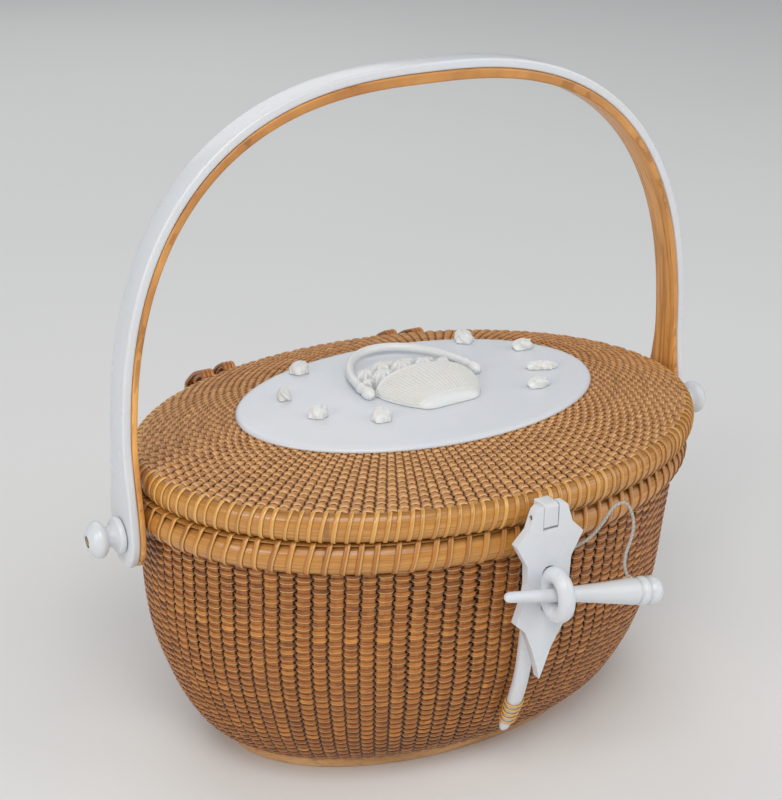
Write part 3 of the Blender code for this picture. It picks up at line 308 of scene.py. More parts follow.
@dataclass(frozen=True)
class IvoryFinish(Finish):
    """Polished or carved ivory, with faint grain and painted shade in the low places."""

    # Ivory colour with a painted reflection of a blue surround mixed in.
    ivory_with_cool_reflection: Colour
    warm: Colour
    roughness: float
    grain: Colour = (30.0, 260.0, 260.0)
    # Whether the carving's low places get painted shade.
    hollow_shade: bool = False
    coat: float = 0.15

    def sockets(self, nodes: Nodes) -> dict[str, Any]:
        """What the shader's sockets get, by their names."""
        grain = nodes.cloud(self.grain, 3.0)
        cloud = nodes.cloud((28.0, 28.0, 28.0), 2.0)
        value = (grain - 0.5) * 0.55 + (cloud - 0.5) * 0.9 + 0.4
        colour = nodes.mix(value.clamped(), self.ivory_with_cool_reflection, self.warm)
        height = grain
        if self.hollow_shade:
            # Painted shade: the carving's low places are darkened towards a brownish tone.
            low = nodes.attribute("low")
            hollow_shade_colour = tuple(c * f for c, f in zip(self.warm, (0.78, 0.66, 0.48)))
            colour = nodes.mix((low * 0.3).clamped(), colour, hollow_shade_colour)
            height = nodes.cloud((900.0, 900.0, 900.0), 3.0)
        return {
            "Base Color": colour,
            "Roughness": (self.roughness + (cloud - 0.5) * 0.12).clamped(),
            "Normal": nodes.bump(height, 0.12, 0.1 * MM),
            "Subsurface Weight": 0.12,
            "Subsurface Scale": 1.5 * MM,
            "Coat Weight": self.coat,
            "Coat Roughness": 0.15,
        }


@dataclass(frozen=True)
class OakFinish(Finish):
    """Oiled wood with a grain that runs along the piece."""

    pale: Colour
    dark: Colour
    grain: Colour
    roughness: float = 0.4
    contrast: float = 1.9

    def sockets(self, nodes: Nodes) -> dict[str, Any]:
        """What the shader's sockets get, by their names."""
        broad = nodes.cloud(self.grain, 4.0)
        fine_scale = tuple(5 * g for g in self.grain)
        fine = nodes.cloud(fine_scale, 3.0)
        value = (broad - 0.5) * self.contrast + (fine - 0.5) * 0.9 + 0.5
        colour = nodes.mix(value.clamped(), self.pale, self.dark)
        pores = nodes.math("GREATER_THAN", fine, 0.62)
        colour = nodes.mix(pores * 0.35, colour, tuple(c * 0.45 for c in self.dark))
        return {
            "Base Color": colour,
            "Roughness": (self.roughness + (fine - 0.5) * 0.3).clamped(),
            "Normal": nodes.bump(fine - pores * 0.5, 0.25, 0.1 * MM),
            "Coat Weight": 0.2,
            "Coat Roughness": 0.2,
        }


@dataclass(frozen=True)
class BrassFinish(Finish):
    """Old brass, dull in patches."""

    bright: Colour
    dull: Colour

    def sockets(self, nodes: Nodes) -> dict[str, Any]:
        """What the shader's sockets get, by their names."""
        spots = nodes.cloud((420.0, 420.0, 420.0), 4.0)
        value = ((spots - 0.5) * 2.2 + 0.45).clamped()
        colour = nodes.mix(value, self.bright, self.dull)
        return {
            "Base Color": colour,
            "Roughness": (value * 0.3 + 0.25).clamped(),
            "Metallic": 1.0,
            "Normal": nodes.bump(spots, 0.1, 0.05 * MM),
        }


@dataclass(frozen=True)
class ThreadFinish(Finish):
    """Twisted thread: slanting plies along the strand, painted dark in the grooves between them as painted
    shade.
    """

    pale: Colour
    dark: Colour
    ply_length: float = 1.6 * MM

    def sockets(self, nodes: Nodes) -> dict[str, Any]:
        """What the shader's sockets get, by their names."""
        turn = nodes.attribute("across") * 0.5 + nodes.attribute("along") * (1 / self.ply_length)
        wave = nodes.math("PINGPONG", turn, 0.5) * 2.0
        fuzz = nodes.cloud((2500.0, 2500.0, 2500.0), 2.0)
        # Painted shade: dark in the grooves between plies, pale on their crowns.
        value = (wave * 0.75 + (fuzz - 0.5) * 0.7).clamped()
        colour = nodes.mix(value, self.dark, self.pale)
        return {
            "Base Color": colour,
            "Roughness": (fuzz * 0.3 + 0.6).clamped(),
            "Normal": nodes.bump(wave + fuzz * 0.3, 0.8, 0.15 * MM),
        }


@dataclass(frozen=True)
class PaperFinish(Finish):
    """The floor's pale, matt paper."""

    pale: Colour = (0.84, 0.84, 0.83)
    dull: Colour = (0.80, 0.80, 0.79)

    def sockets(self, nodes: Nodes) -> dict[str, Any]:
        """What the shader's sockets get, by their names."""
        cloud = nodes.cloud((3.0, 3.0, 3.0), 2.0)
        return {"Base Color": nodes.mix(cloud, self.dull, self.pale), "Roughness": 0.85}


@dataclass
class Finishes:
    """Every finish of the basket, built once."""

    made: dict[str, bpy.types.Material] = field(default_factory=dict)

    def build(self) -> None:
        """Builds every material."""
        weaver = (
            (0.0, (0.13, 0.034, 0.005)),
            (0.3, (0.33, 0.098, 0.012)),
            (0.58, (0.56, 0.20, 0.028)),
            (0.85, (0.78, 0.36, 0.07)),
            (1.0, (0.92, 0.54, 0.15)),
        )
        lid_weaver = (
            (0.0, (0.26, 0.090, 0.024)),
            (0.35, (0.52, 0.23, 0.066)),
            (0.65, (0.70, 0.36, 0.125)),
            (1.0, (0.85, 0.53, 0.22)),
        )
        stave = (
            (0.0, (0.20, 0.062, 0.013)),
            (0.5, (0.43, 0.16, 0.032)),
            (1.0, (0.62, 0.28, 0.07)),
        )
        lid_stave = (
            (0.0, (0.26, 0.095, 0.03)),
            (0.5, (0.52, 0.245, 0.08)),
            (1.0, (0.68, 0.37, 0.14)),
        )
        lashing = (
            (0.0, (0.42, 0.165, 0.025)),
            (0.5, (0.64, 0.29, 0.055)),
            (1.0, (0.80, 0.45, 0.12)),
        )
        body_lashing = (
            (0.0, (0.34, 0.115, 0.016)),
            (0.5, (0.52, 0.20, 0.035)),
            (0.9, (0.66, 0.31, 0.065)),
            (1.0, (0.86, 0.58, 0.25)),
        )
        hoop = (
            (0.0, (0.24, 0.085, 0.018)),
            (0.5, (0.55, 0.235, 0.043)),
            (1.0, (0.80, 0.44, 0.12)),
        )
        brown = (
            (0.0, (0.16, 0.048, 0.014)),
            (0.5, (0.48, 0.18, 0.038)),
            (1.0, (0.70, 0.33, 0.085)),
        )
        finishes = (
            CaneFinish("cane_weaver", weaver, edge_shade=0.3, pith_and_highlight_edge=0.65, pale=(0.92, 0.55, 0.19)),
            CaneFinish("cane_stave", stave, fibre_width=0.16, fibre_length=40 * MM, fibre_share=0.8,
                       edge_shade=0.5),
            CaneFinish("cane_lid_weaver", lid_weaver, roughness=0.48, coat=0.08, edge_shade=0.1,
                       pith_and_highlight_edge=0.5, pale=(0.90, 0.62, 0.33), dive_shade_strength=0.9),
            CaneFinish("cane_lid_stave", lid_stave, fibre_width=0.16, fibre_share=0.8, coat=0.05),
            CaneFinish("cane_lashing", lashing, roughness=0.3, coat=0.35, edge_shade=0.5,
                       pith_and_highlight_edge=0.45, pale=(0.92, 0.62, 0.22)),
            CaneFinish("cane_body_lashing", body_lashing, roughness=0.32, coat=0.3, edge_shade=0.5,
                       pith_and_highlight_edge=0.5, pale=(0.90, 0.56, 0.20)),
            CaneFinish("cane_hoop", hoop, roughness=0.3, coat=0.35, fibre_width=0.06,
                       fibre_length=26 * MM, fibre_share=1.1, edge_shade=0.45, node_every=0.11),
            CaneFinish("cane_brown", brown, roughness=0.4, coat=0.2),
            # The ivory colours carry a blue cast that is a painted reflection of a blue surround.
            IvoryFinish("ivory_polished", (0.695, 0.725, 0.78), (0.70, 0.70, 0.68), 0.28),
            IvoryFinish("ivory_plaque", (0.70, 0.74, 0.80), (0.70, 0.715, 0.73), 0.36, (90.0, 22.0, 90.0),
                        coat=0.05),
            IvoryFinish("ivory_carved", (0.77, 0.79, 0.80), (0.74, 0.735, 0.70), 0.36, hollow_shade=True),
            OakFinish("oak_handle", (0.86, 0.43, 0.12), (0.44, 0.175, 0.04), (16.0, 420.0, 16.0),
                      contrast=2.8),
            OakFinish("oak_base", (0.86, 0.50, 0.22), (0.56, 0.28, 0.105), (40.0, 40.0, 300.0)),
            BrassFinish("brass_old", (0.70, 0.54, 0.28), (0.32, 0.22, 0.11)),
            BrassFinish("brass_dark", (0.09, 0.07, 0.05), (0.04, 0.03, 0.02)),
            ThreadFinish("thread_cord", (0.54, 0.50, 0.46), (0.36, 0.33, 0.30)),
            ThreadFinish("thread_knot", (0.70, 0.58, 0.40), (0.38, 0.27, 0.15)),
            PaperFinish("floor_paper"),
        )
        for finish in finishes:
            self.made[finish.name] = finish.build()

    def __getitem__(self, name: str) -> bpy.types.Material:
        """The material of a name."""
        return self.made[name]


@dataclass
class Strand:
    """One strand's middle line, with what it faces and how it looks on the way."""

    points: np.ndarray
    outward: np.ndarray
    tint: Any = 0.5
    # Painted shade where the strand dives behind a stave.
    dive_shade: Any = 0.0
    girth: Any = 1.0
    closed: bool = False


class StrandLoom:
    """Turns strands into solid meshes with one Geometry Nodes tree."""

    def __init__(self) -> None:
        """Builds the tree."""
        self.tree = bpy.data.node_groups.new("strand_loom", "GeometryNodeTree")
        self.inputs: dict[str, str] = {}
        face = self.tree.interface
        for name, kind in (
            ("Paths", "NodeSocketGeometry"),
            ("Width", "NodeSocketFloat"),
            ("Thickness", "NodeSocketFloat"),
            ("Roundness", "NodeSocketFloat"),
            ("Sides", "NodeSocketInt"),
            ("Finish", "NodeSocketMaterial"),
        ):
            socket = face.new_socket(name, in_out="INPUT", socket_type=kind)
            self.inputs[name] = socket.identifier
        face.new_socket("Strands", in_out="OUTPUT", socket_type="NodeSocketGeometry")
        self.build_tree()

    def build_tree(self) -> None:
        """Adds the tree's nodes: paths to curves, a shaped section, and the skin between."""
        nodes = Nodes(self.tree)
        given = nodes.add("NodeGroupInput")
        curve = nodes.add("GeometryNodeMeshToCurve", None, {"Mesh": given.outputs["Paths"]})
        facing = nodes.add(
            "GeometryNodeInputNamedAttribute", {"data_type": "FLOAT_VECTOR"}, {"Name": "outward"}
        )
        normal = nodes.add(
            "GeometryNodeSetCurveNormal",
            {"mode": "FREE"},
            {"Curve": curve.outputs[0], "Normal": facing.outputs[0]},
        )
        walked = nodes.add("GeometryNodeSplineParameter")
        along = self.store(nodes, normal.outputs[0], "along", walked.outputs["Length"])
        girth = nodes.add(
            "GeometryNodeInputNamedAttribute", {"data_type": "FLOAT"}, {"Name": "girth"}
        )
        skin = nodes.add(
            "GeometryNodeCurveToMesh",
            None,
            {
                "Curve": along,
                "Profile Curve": self.section(nodes, given),
                "Scale": girth.outputs[0],
                "Fill Caps": True,
            },
        )
        real = nodes.add("GeometryNodeRealizeInstances", None, {"Geometry": skin.outputs[0]})
        smooth = nodes.add("GeometryNodeSetShadeSmooth", None, {"Geometry": real.outputs[0]})
        dressed = nodes.add(
            "GeometryNodeSetMaterial",
            None,
            {"Geometry": smooth.outputs[0], "Material": given.outputs["Finish"]},
        )
        nodes.add("NodeGroupOutput", None, {0: dressed.outputs[0]})

    def section(self, nodes: Nodes, given: bpy.types.Node) -> bpy.types.NodeSocket:
        """Adds the strand's cross-section: a flattened ring of a given roundness.

        Args:
            nodes: The tree's nodes.
            given: The tree's input node.

        Returns:
            The section's curve.
        """
        ring = nodes.add(
            "GeometryNodeCurvePrimitiveCircle",
            {"mode": "RADIUS"},
            {"Resolution": given.outputs["Sides"], "Radius": 1.0},
        )
        here = nodes.add("GeometryNodeInputPosition")
        parts = nodes.add("ShaderNodeSeparateXYZ", None, {0: here.outputs[0]})
        stored = self.store(nodes, ring.outputs[0], "across", parts.outputs[0])
        shaped = []
        for output, size in enumerate(("Width", "Thickness")):
            value = nodes.out(parts, output)
            reach = nodes.math("ABSOLUTE", value, 0.0)
            power = nodes.math("POWER", reach, nodes.out(given, "Roundness"))
            half = nodes.out(given, size) * 0.5
            shaped.append(nodes.math("SIGN", value, 0.0) * power * half)
        placed = nodes.add(
            "GeometryNodeSetPosition",
            None,
            {"Geometry": stored, "Position": nodes.vector(shaped[1], shaped[0], 0.0)},
        )
        return placed.outputs[0]

    def store(
        self, nodes: Nodes, geometry: bpy.types.NodeSocket, name: str, value: bpy.types.NodeSocket
    ) -> bpy.types.NodeSocket:
        """Stores a number on every point under a name."""
        settings = {"data_type": "FLOAT", "domain": "POINT"}
        values = {"Geometry": geometry, "Name": name, "Value": value}
        return nodes.add("GeometryNodeStoreNamedAttribute", settings, values).outputs[0]

    def weave(
        self,
        name: str,
        strands: Sequence[Strand],
        width: float,
        thickness: float,
        finish: bpy.types.Material,
        sides: int = 6,
        roundness: float = 0.6,
    ) -> bpy.types.Object:
        """Makes one plain mesh object of many strands.

        Args:
            name: The piece's name.
            strands: The strands' paths.
            width: Width across the strand, square to what it faces.
            thickness: Thickness along what it faces.
            finish: The material.
            sides: Points round the section.
            roundness: 1 for an oval section, less for a flatter one.

        Returns:
            The piece.
        """
        guide = self.guide(name, strands)
        holder = bpy.data.objects.new(name + "_paths", guide)
        bpy.context.scene.collection.objects.link(holder)
        modifier = holder.modifiers.new("loom", "NODES")
        modifier.node_group = self.tree
        settings = {
            "Width": width,
            "Thickness": thickness,
            "Roundness": roundness,
            "Sides": sides,
            "Finish": finish,
        }
        for key, value in settings.items():
            modifier[self.inputs[key]] = value
        graph = bpy.context.evaluated_depsgraph_get()
        mesh = bpy.data.meshes.new_from_object(holder.evaluated_get(graph))
        holder.modifiers.remove(modifier)
        bpy.data.objects.remove(holder)
        bpy.data.meshes.remove(guide)
        face_out(mesh)
        return add_piece(name, mesh)

    def guide(self, name: str, strands: Sequence[Strand]) -> bpy.types.Mesh:
        """A mesh of the strands' middle lines that carries their attributes.

        Args:
            name: The piece's name.
            strands: The strands.

        Returns:
            The mesh of lines.
        """
        points, outward, edges = [], [], []
        numbers: dict[str, list[np.ndarray]] = {"tint": [], "dive_shade": [], "girth": []}
        start = 0
        for strand in strands:
            count = len(strand.points)
            points.append(strand.points)
            outward.append(strand.outward)
            for key, rows in numbers.items():
                rows.append(np.broadcast_to(np.asarray(getattr(strand, key), float), (count,)))
            index = np.arange(start, start + count)
            pairs = np.stack([index[:-1], index[1:]], axis=1)
            if strand.closed:
                pairs = np.concatenate([pairs, [[index[-1], index[0]]]])
            edges.append(pairs)
            start += count
        mesh = bpy.data.meshes.new(name + "_guide")
        all_points = np.concatenate(points)
        all_edges = np.concatenate(edges)
        mesh.vertices.add(len(all_points))
        mesh.vertices.foreach_set("co", all_points.astype(np.float32).ravel())
        mesh.edges.add(len(all_edges))
        mesh.edges.foreach_set("vertices", all_edges.astype(np.int32).ravel())
        vectors = mesh.attributes.new("outward", "FLOAT_VECTOR", "POINT")
        vectors.data.foreach_set("vector", np.concatenate(outward).astype(np.float32).ravel())
        for key, rows in numbers.items():
            values = mesh.attributes.new(key, "FLOAT", "POINT")
            values.data.foreach_set("value", np.concatenate(rows).astype(np.float32))
        mesh.update()
        return mesh


def face_out(mesh: bpy.types.Mesh) -> None:
    """Turns every face of a closed mesh outwards."""
    bm = bmesh.new()
    bm.from_mesh(mesh)
    bmesh.ops.recalc_face_normals(bm, faces=bm.faces)
    bm.to_mesh(mesh)
    bm.free()


def add_piece(name: str, mesh: bpy.types.Mesh) -> bpy.types.Object:
    """Puts a mesh in the scene under the name of its piece."""
    mesh.name = name
    piece = bpy.data.objects.new(name, mesh)
    bpy.context.scene.collection.objects.link(piece)
    return piece


def piece_of(
    name: str, bm: bmesh.types.BMesh, finish: bpy.types.Material, sharp: Optional[float] = None
) -> bpy.types.Object:
    """Turns a working mesh into a piece.

    Args:
        name: The piece's name.
        bm: The working mesh, which is freed.
        finish: The material.
        sharp: Angle in degrees over which an edge stays crisp, or None to leave the shading.

    Returns:
        The piece.
    """
    mesh = bpy.data.meshes.new(name)
    bm.to_mesh(mesh)
    bm.free()
    mesh.materials.clear()
    mesh.materials.append(finish)
    if sharp is not None:
        mesh.shade_smooth()
        mesh.set_sharp_from_angle(angle=math.radians(sharp))
    return add_piece(name, mesh)


def skinned(
    name: str,
    rings: np.ndarray,
    finish: bpy.types.Material,
    closed: bool = False,
    capped: bool = True,
    sharp: float = 40.0,
) -> bpy.types.Object:
    """Skins rings of equally many points.

    Args:
        name: The piece's name.
        rings: The rings, as rings x points x 3.
        finish: The material.
        closed: Whether the last ring meets the first.
        capped: Whether the ends get flat caps.
        sharp: Angle in degrees over which an edge stays crisp.

    Returns:
        The piece.
    """
    ring_count, count = rings.shape[:2]
    bm = bmesh.new()
    rows = [[bm.verts.new(point) for point in ring] for ring in rings]
    steps = ring_count if closed else ring_count - 1
    for k in range(steps):
        low, high = rows[k], rows[(k + 1) % ring_count]
        for i in range(count):
            j = (i + 1) % count
            bm.faces.new((low[i], low[j], high[j], high[i]))
    if capped and not closed:
        bm.faces.new(rows[0])
        bm.faces.new(rows[-1])
    bmesh.ops.recalc_face_normals(bm, faces=bm.faces)
    return piece_of(name, bm, finish, sharp)


def refined(
    name: str,
    node: bpy.types.Object,
    finish: bpy.types.Material,
    bevel: float = 0.0,
    sharp: float = 35.0,
) -> bpy.types.Object:
    """A merged copy of a node with eased edges.

    Args:
        name: The piece's name.
        node: The node whose shape is right.
        finish: The material.
        bevel: Width of the eased edges, or 0 for none.
        sharp: Angle in degrees over which an edge is eased.

    Returns:
        The piece.
    """
    bm = bmesh.new()
    bm.from_mesh(node.data)
    bmesh.ops.remove_doubles(bm, verts=bm.verts, dist=0.01 * MM)
    flat = math.radians(1.5)
    bmesh.ops.dissolve_limit(bm, angle_limit=flat, verts=bm.verts, edges=bm.edges)
    if bevel:
        limit = math.radians(sharp)
        edges = [e for e in bm.edges if len(e.link_faces) == 2 and e.calc_face_angle() > limit]
        bmesh.ops.bevel(
            bm, geom=edges, offset=bevel, segments=4, profile=0.5, affect="EDGES", clamp_overlap=True
        )
    return piece_of(name, bm, finish, sharp)


def dress(piece: bpy.types.Object, body: Body, slot: Slot, *replaced: str) -> None:
    """Attaches a piece to the body it rides on, hides the nodes it stands for and logs its triangles."""
    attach(piece, body.value)
    if replaced:
        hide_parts(*replaced)
    triangles = sum(len(p.vertices) - 2 for p in getattr(piece.data, "polygons", []))
    LOG.info("%s on %s, %d triangles", piece.name, body.value, triangles)


def keep_solid(node: bpy.types.Object, finish: bpy.types.Material) -> None:
    """Gives a solid that stays its material."""
    node.data.materials.clear()
    node.data.materials.append(finish)
    LOG.info("%s keeps its solid with %s", node.name, finish.name)


def eased(shares: Sequence[tuple[float, float]], at: Any) -> np.ndarray:
    """A smooth curve through (place, value) pairs that doesn't overshoot.

    Args:
        shares: The pairs.
        at: Where to read it.

    Returns:
        The values there.
    """
    places = np.array([place for place, _ in shares])
    values = np.array([value for _, value in shares])
    slopes = np.diff(values) / np.diff(places)
    before, after = slopes[:-1], slopes[1:]
    product = before * after
    safe = np.where(np.abs(before + after) < 1e-12, 1.0, before + after)
    inner = np.where(product <= 0, 0.0, 2 * product / safe)
    tangents = np.concatenate([[slopes[0]], inner, [slopes[-1]]])
    at = np.asarray(at, float)
    i = np.clip(np.searchsorted(places, at, side="right") - 1, 0, len(slopes) - 1)
    width = places[i + 1] - places[i]
    t = (at - places[i]) / width
    return (
        values[i] * (2 * t**3 - 3 * t**2 + 1)
        + tangents[i] * width * (t**3 - 2 * t**2 + t)
        + values[i + 1] * (3 * t**2 - 2 * t**3)
        + tangents[i + 1] * width * (t**3 - t**2)
    )


def unit(vectors: np.ndarray) -> np.ndarray:
    """The vectors at length 1."""
    return vectors / np.linalg.norm(vectors, axis=-1, keepdims=True)


@dataclass
class OvalCourse:
    """Places round an oval at even steps of its outline, with small uneven steps between staves."""

    half_length: float
    half_width: float
    count: int
    unevenness: float = 0.05
    seed: int = SEED

    def __post_init__(self) -> None:
        """Works out the angle at each stave."""
        dense = np.linspace(0, 2 * np.pi, 4097)
        x = self.half_length * np.cos(dense)
        y = self.half_width * np.sin(dense)
        walked = np.concatenate([[0], np.cumsum(np.hypot(np.diff(x), np.diff(y)))])
        draw = np.random.default_rng(self.seed)
        steps = 1 + self.unevenness * draw.standard_normal(self.count)
        self.outline = walked[-1]
        self.stave_places = np.concatenate([[0], np.cumsum(steps)]) / steps.sum() * walked[-1]
        self.walked, self.dense = walked, dense

    def angle(self, stave: Any) -> np.ndarray:
        """The oval's angle at a stave number, whole or between."""
        stave = np.asarray(stave, float)
        turns = np.floor(stave / self.count)
        place = np.interp(stave - turns * self.count, np.arange(self.count + 1), self.stave_places)
        return np.interp(place, self.walked, self.dense) + turns * 2 * np.pi


RIM_SLOPE = 0.020
SLOPE_START = -90.0 * MM
PLAQUE = (74.8 * MM, 49.3 * MM)


def sloped(points: np.ndarray, share: Any) -> np.ndarray:
    """Lowers points towards the hinges by a share of the rim's slope."""
    out = points.copy()
    out[..., 2] -= np.asarray(share) * RIM_SLOPE * (out[..., 1] - SLOPE_START)
    return out


def between(first: tuple[float, float], last: tuple[float, float], share: Any) -> tuple[Any, Any]:
    """An oval's half sizes at a share of the way from one oval to another."""
    return first[0] + (last[0] - first[0]) * share, first[1] + (last[1] - first[1]) * share


def oval(
    angle: Any, half: tuple[Any, Any], height: Any, centre: tuple[Any, Any] = (0.0, 0.0)
) -> np.ndarray:
    """Points of a level oval at angles.

    Args:
        angle: The angles.
        half: Half its length and half its width.
        height: Its height.
        centre: Its middle.

    Returns:
        The points.
    """
    x = centre[0] + half[0] * np.cos(angle)
    y = centre[1] + half[1] * np.sin(angle)
    return np.stack(np.broadcast_arrays(x, y, height), axis=-1)


def oval_rings(half: tuple[float, float], profile: Sequence[tuple[float, float]], count: int) -> np.ndarray:
    """Level ovals along a profile of (spread, height) pairs in millimetres."""
    angle = np.linspace(0, 2 * np.pi, count, endpoint=False)
    rings = []
    for spread, height in profile:
        rings.append(oval(angle, (half[0] + spread * MM, half[1] + spread * MM), height * MM))
    return np.array(rings)


class Face:
    """A woven face, where a point is found by its angle and a place across the face."""

    turn = 0.003
    step: float

    def point(self, angle: Any, place: Any) -> np.ndarray:
        """Points of the face at angles and places."""
        raise NotImplementedError

    def normal(self, angle: Any, place: Any) -> np.ndarray:
        """Outward normals of the face at angles and places."""
        angle, place = np.asarray(angle, float), np.asarray(place, float)
        round_it = self.point(angle + self.turn, place) - self.point(angle - self.turn, place)
        over_it = self.point(angle, place + self.step) - self.point(angle, place - self.step)
        return unit(np.cross(round_it, over_it))


class Wall(Face):
    """The body's outer face, where a place is a height."""

    step = 0.4 * MM
    height = 115.2 * MM
    base = (81.4 * MM, 47.8 * MM)
    rim = (111.6 * MM, 84.4 * MM)
    lean = -2.2 * MM
    shape = (
        (0.0, 0.0), (0.036, 0.05), (0.085, 0.27), (0.135, 0.42), (0.29, 0.69), (0.50, 0.9),
        (0.72, 0.968), (0.9, 1.0), (1.0, 1.0),
    )
    lean_shares = ((0.0, 0.0), (0.22, 0.95), (0.6, 1.3), (0.88, 0.8), (1.0, 0.8))
    slope_shares = ((0.0, 0.0), (0.7, 0.0), (0.87, 1.0), (1.0, 1.0))

    def half(self, height: Any) -> tuple[Any, Any]:
        """Half the length and half the width at heights."""
        return between(self.base, self.rim, eased(self.shape, height / self.height))

    def point(self, angle: Any, place: Any) -> np.ndarray:
        """Points of the face at angles and heights."""
        angle, height = np.broadcast_arrays(np.asarray(angle, float), np.asarray(place, float))
        share = height / self.height
        centre = (self.lean * eased(self.lean_shares, share), 0.0)
        return sloped(oval(angle, self.half(height), height, centre), eased(self.slope_shares, share))

    def heights(self, low: float, high: float, pitch: float) -> np.ndarray:
        """Heights at even steps along the face, measured half way between its ends and sides."""
        dense = np.linspace(low, high, 800)
        walked = np.zeros(800)
        for angle in (0.0, np.pi / 2):
            line = self.point(angle, dense)
            steps = np.linalg.norm(np.diff(line, axis=0), axis=1)
            walked[1:] += np.cumsum(steps) / 2
        count = max(2, round(walked[-1] / pitch))
        return np.interp(np.linspace(0, walked[-1], count + 1), walked, dense)


class Dome(Face):
    """The lid's top face, where a place is a share of the way from its shoulder to the plaque."""

    step = 0.01
    outer = (110.9 * MM, 84.0 * MM)
    inner = (73.3 * MM, 47.8 * MM)
    centre = (-0.6 * MM, -2.6 * MM)
    low = 129.3 * MM
    rise = 3.8 * MM

    def point(self, angle: Any, place: Any) -> np.ndarray:
        """Points of the face at angles and shares."""
        angle, share = np.broadcast_arrays(np.asarray(angle, float), np.asarray(place, float))
        centre = (self.centre[0] * (1 - share), self.centre[1] * (1 - share))
        height = self.low + self.rise * np.sin(np.clip(share, -0.3, 1.2) * np.pi / 2)
        return sloped(oval(angle, between(self.outer, self.inner, share), height, centre), 1 - share)


@dataclass(frozen=True)
class Rim:
    """An oval at the mouth of the body or the lid that hoops and lashings follow."""

    half: tuple[float, float]
    centre: tuple[float, float]

    def point(self, angle: Any, out: Any, height: Any) -> np.ndarray:
        """Points at angles, distances out from the oval and heights."""
        return sloped(oval(angle, (self.half[0] + out, self.half[1] + out), height, self.centre), 1.0)

    def outward(self, angle: Any) -> np.ndarray:
        """Level directions straight out from the oval."""
        x, y = np.cos(angle) / self.half[0], np.sin(angle) / self.half[1]
        return unit(np.stack([x, y, np.zeros_like(x)], axis=-1))


BODY_RIM = Rim(Wall.rim, (-1.76 * MM, 0.0))
LID_RIM = Rim((112.9 * MM, 86.0 * MM), Dome.centre)


@dataclass
class Weave:
    """Plain weave of flat cane over staves."""

    staves: int
    sharpness: float = 0.4
    face_depth: float = 1.0 * MM
    swing: float = 0.80 * MM
    wander: float = 0.09 * MM
    jitter: float = 0.07 * MM
    tint_spread: float = 0.12
    stave_tint: float = 0.07
    girth_spread: float = 0.05
    steps: tuple[float, ...] = (0.0, 0.18, 0.34, 0.5, 0.66, 0.82)

    def wave(self, row: int) -> tuple[np.ndarray, np.ndarray]:
        """Stave numbers round one row, and how far in front of the middle the strand is there.

        Args:
            row: The row's number, which sets over or under.

        Returns:
            Stave numbers, and values from -1 behind to 1 in front.
        """
        stave = (np.arange(self.staves)[:, None] + np.array(self.steps)).ravel()
        swing = np.cos(np.pi * stave) * (1 if row % 2 == 0 else -1)
        return stave, np.sign(swing) * np.abs(swing) ** self.sharpness

    def bow(self, swing: np.ndarray) -> np.ndarray:
        """How far a strand sags where it crosses a stave, as a share of its deepest sag."""
        return np.sign(swing) * np.abs(swing) ** (1 / self.sharpness)

    def girth(self, swing: np.ndarray) -> np.ndarray:
        """How wide the strand is: whole where it shows, pinched where it dives between staves."""
        share = np.clip(np.where(swing < 0, -1.4 * swing, swing / 0.7), 0, 1)
        return 0.66 + 0.34 * share * share * (3 - 2 * share)

    def dive_shade(self, swing: np.ndarray) -> np.ndarray:
        """Painted shade: how dark the strand is painted where it dives behind a stave."""
        return np.clip(0.95 - swing * 1.5, 0, 1)

    def tints(self, draw: np.random.Generator, stave: np.ndarray, middle: float) -> np.ndarray:
        """One row's colours: a few lengths of cane, each of its own colour.

        Args:
            draw: The random source.
            stave: Stave numbers round the row.
            middle: The middle colour value.

        Returns:
            A colour value at each place.
        """
        joins = np.sort(draw.uniform(0, self.staves, draw.integers(2, 5)))
        lengths = np.clip(middle + self.tint_spread * draw.standard_normal(len(joins)), 0.02, 0.98)
        staves = np.repeat(draw.standard_normal(self.staves), len(self.steps))
        return lengths[np.searchsorted(joins, stave) % len(joins)] + self.stave_tint * staves

    def drift(self, draw: np.random.Generator, stave: np.ndarray) -> np.ndarray:
        """Slow wandering round a closed row."""
        turn = 2 * np.pi * stave / self.staves
        value = np.zeros_like(turn)
        for waves in (1, 2, 3, 5, 8):
            value += draw.standard_normal() * np.sin(waves * turn + draw.uniform(0, 2 * np.pi)) / waves
        return self.wander * value

    def row(
        self,
        draw: np.random.Generator,
        number: int,
        face: Face,
        course: OvalCourse,
        place: float,
        sag: float,
        middle: float,
    ) -> Strand:
        """One closed row of cane over and under the staves.

        Args:
            draw: The random source.
            number: The row's number.
            face: The face that it lies on.
            course: Where the staves stand.
            place: The row's place across the face.
            sag: How far it sags over a stave, in the same measure.
            middle: Its middle colour value.

        Returns:
            The row.
        """
        stave, swing = self.wave(number)
        angle = course.angle(stave)
        level = place + self.drift(draw, stave) + self.jitter * draw.standard_normal(len(stave))
        level = level - sag * self.bow(swing)
        normal = face.normal(angle, level)
        points = face.point(angle, level) + normal * (self.swing * swing - self.face_depth)[:, None]
        tint = self.tints(draw, stave, middle)
        girth = self.girth(swing) * (1 + self.girth_spread * draw.standard_normal())
        return Strand(points, normal, tint, self.dive_shade(swing), girth, True)


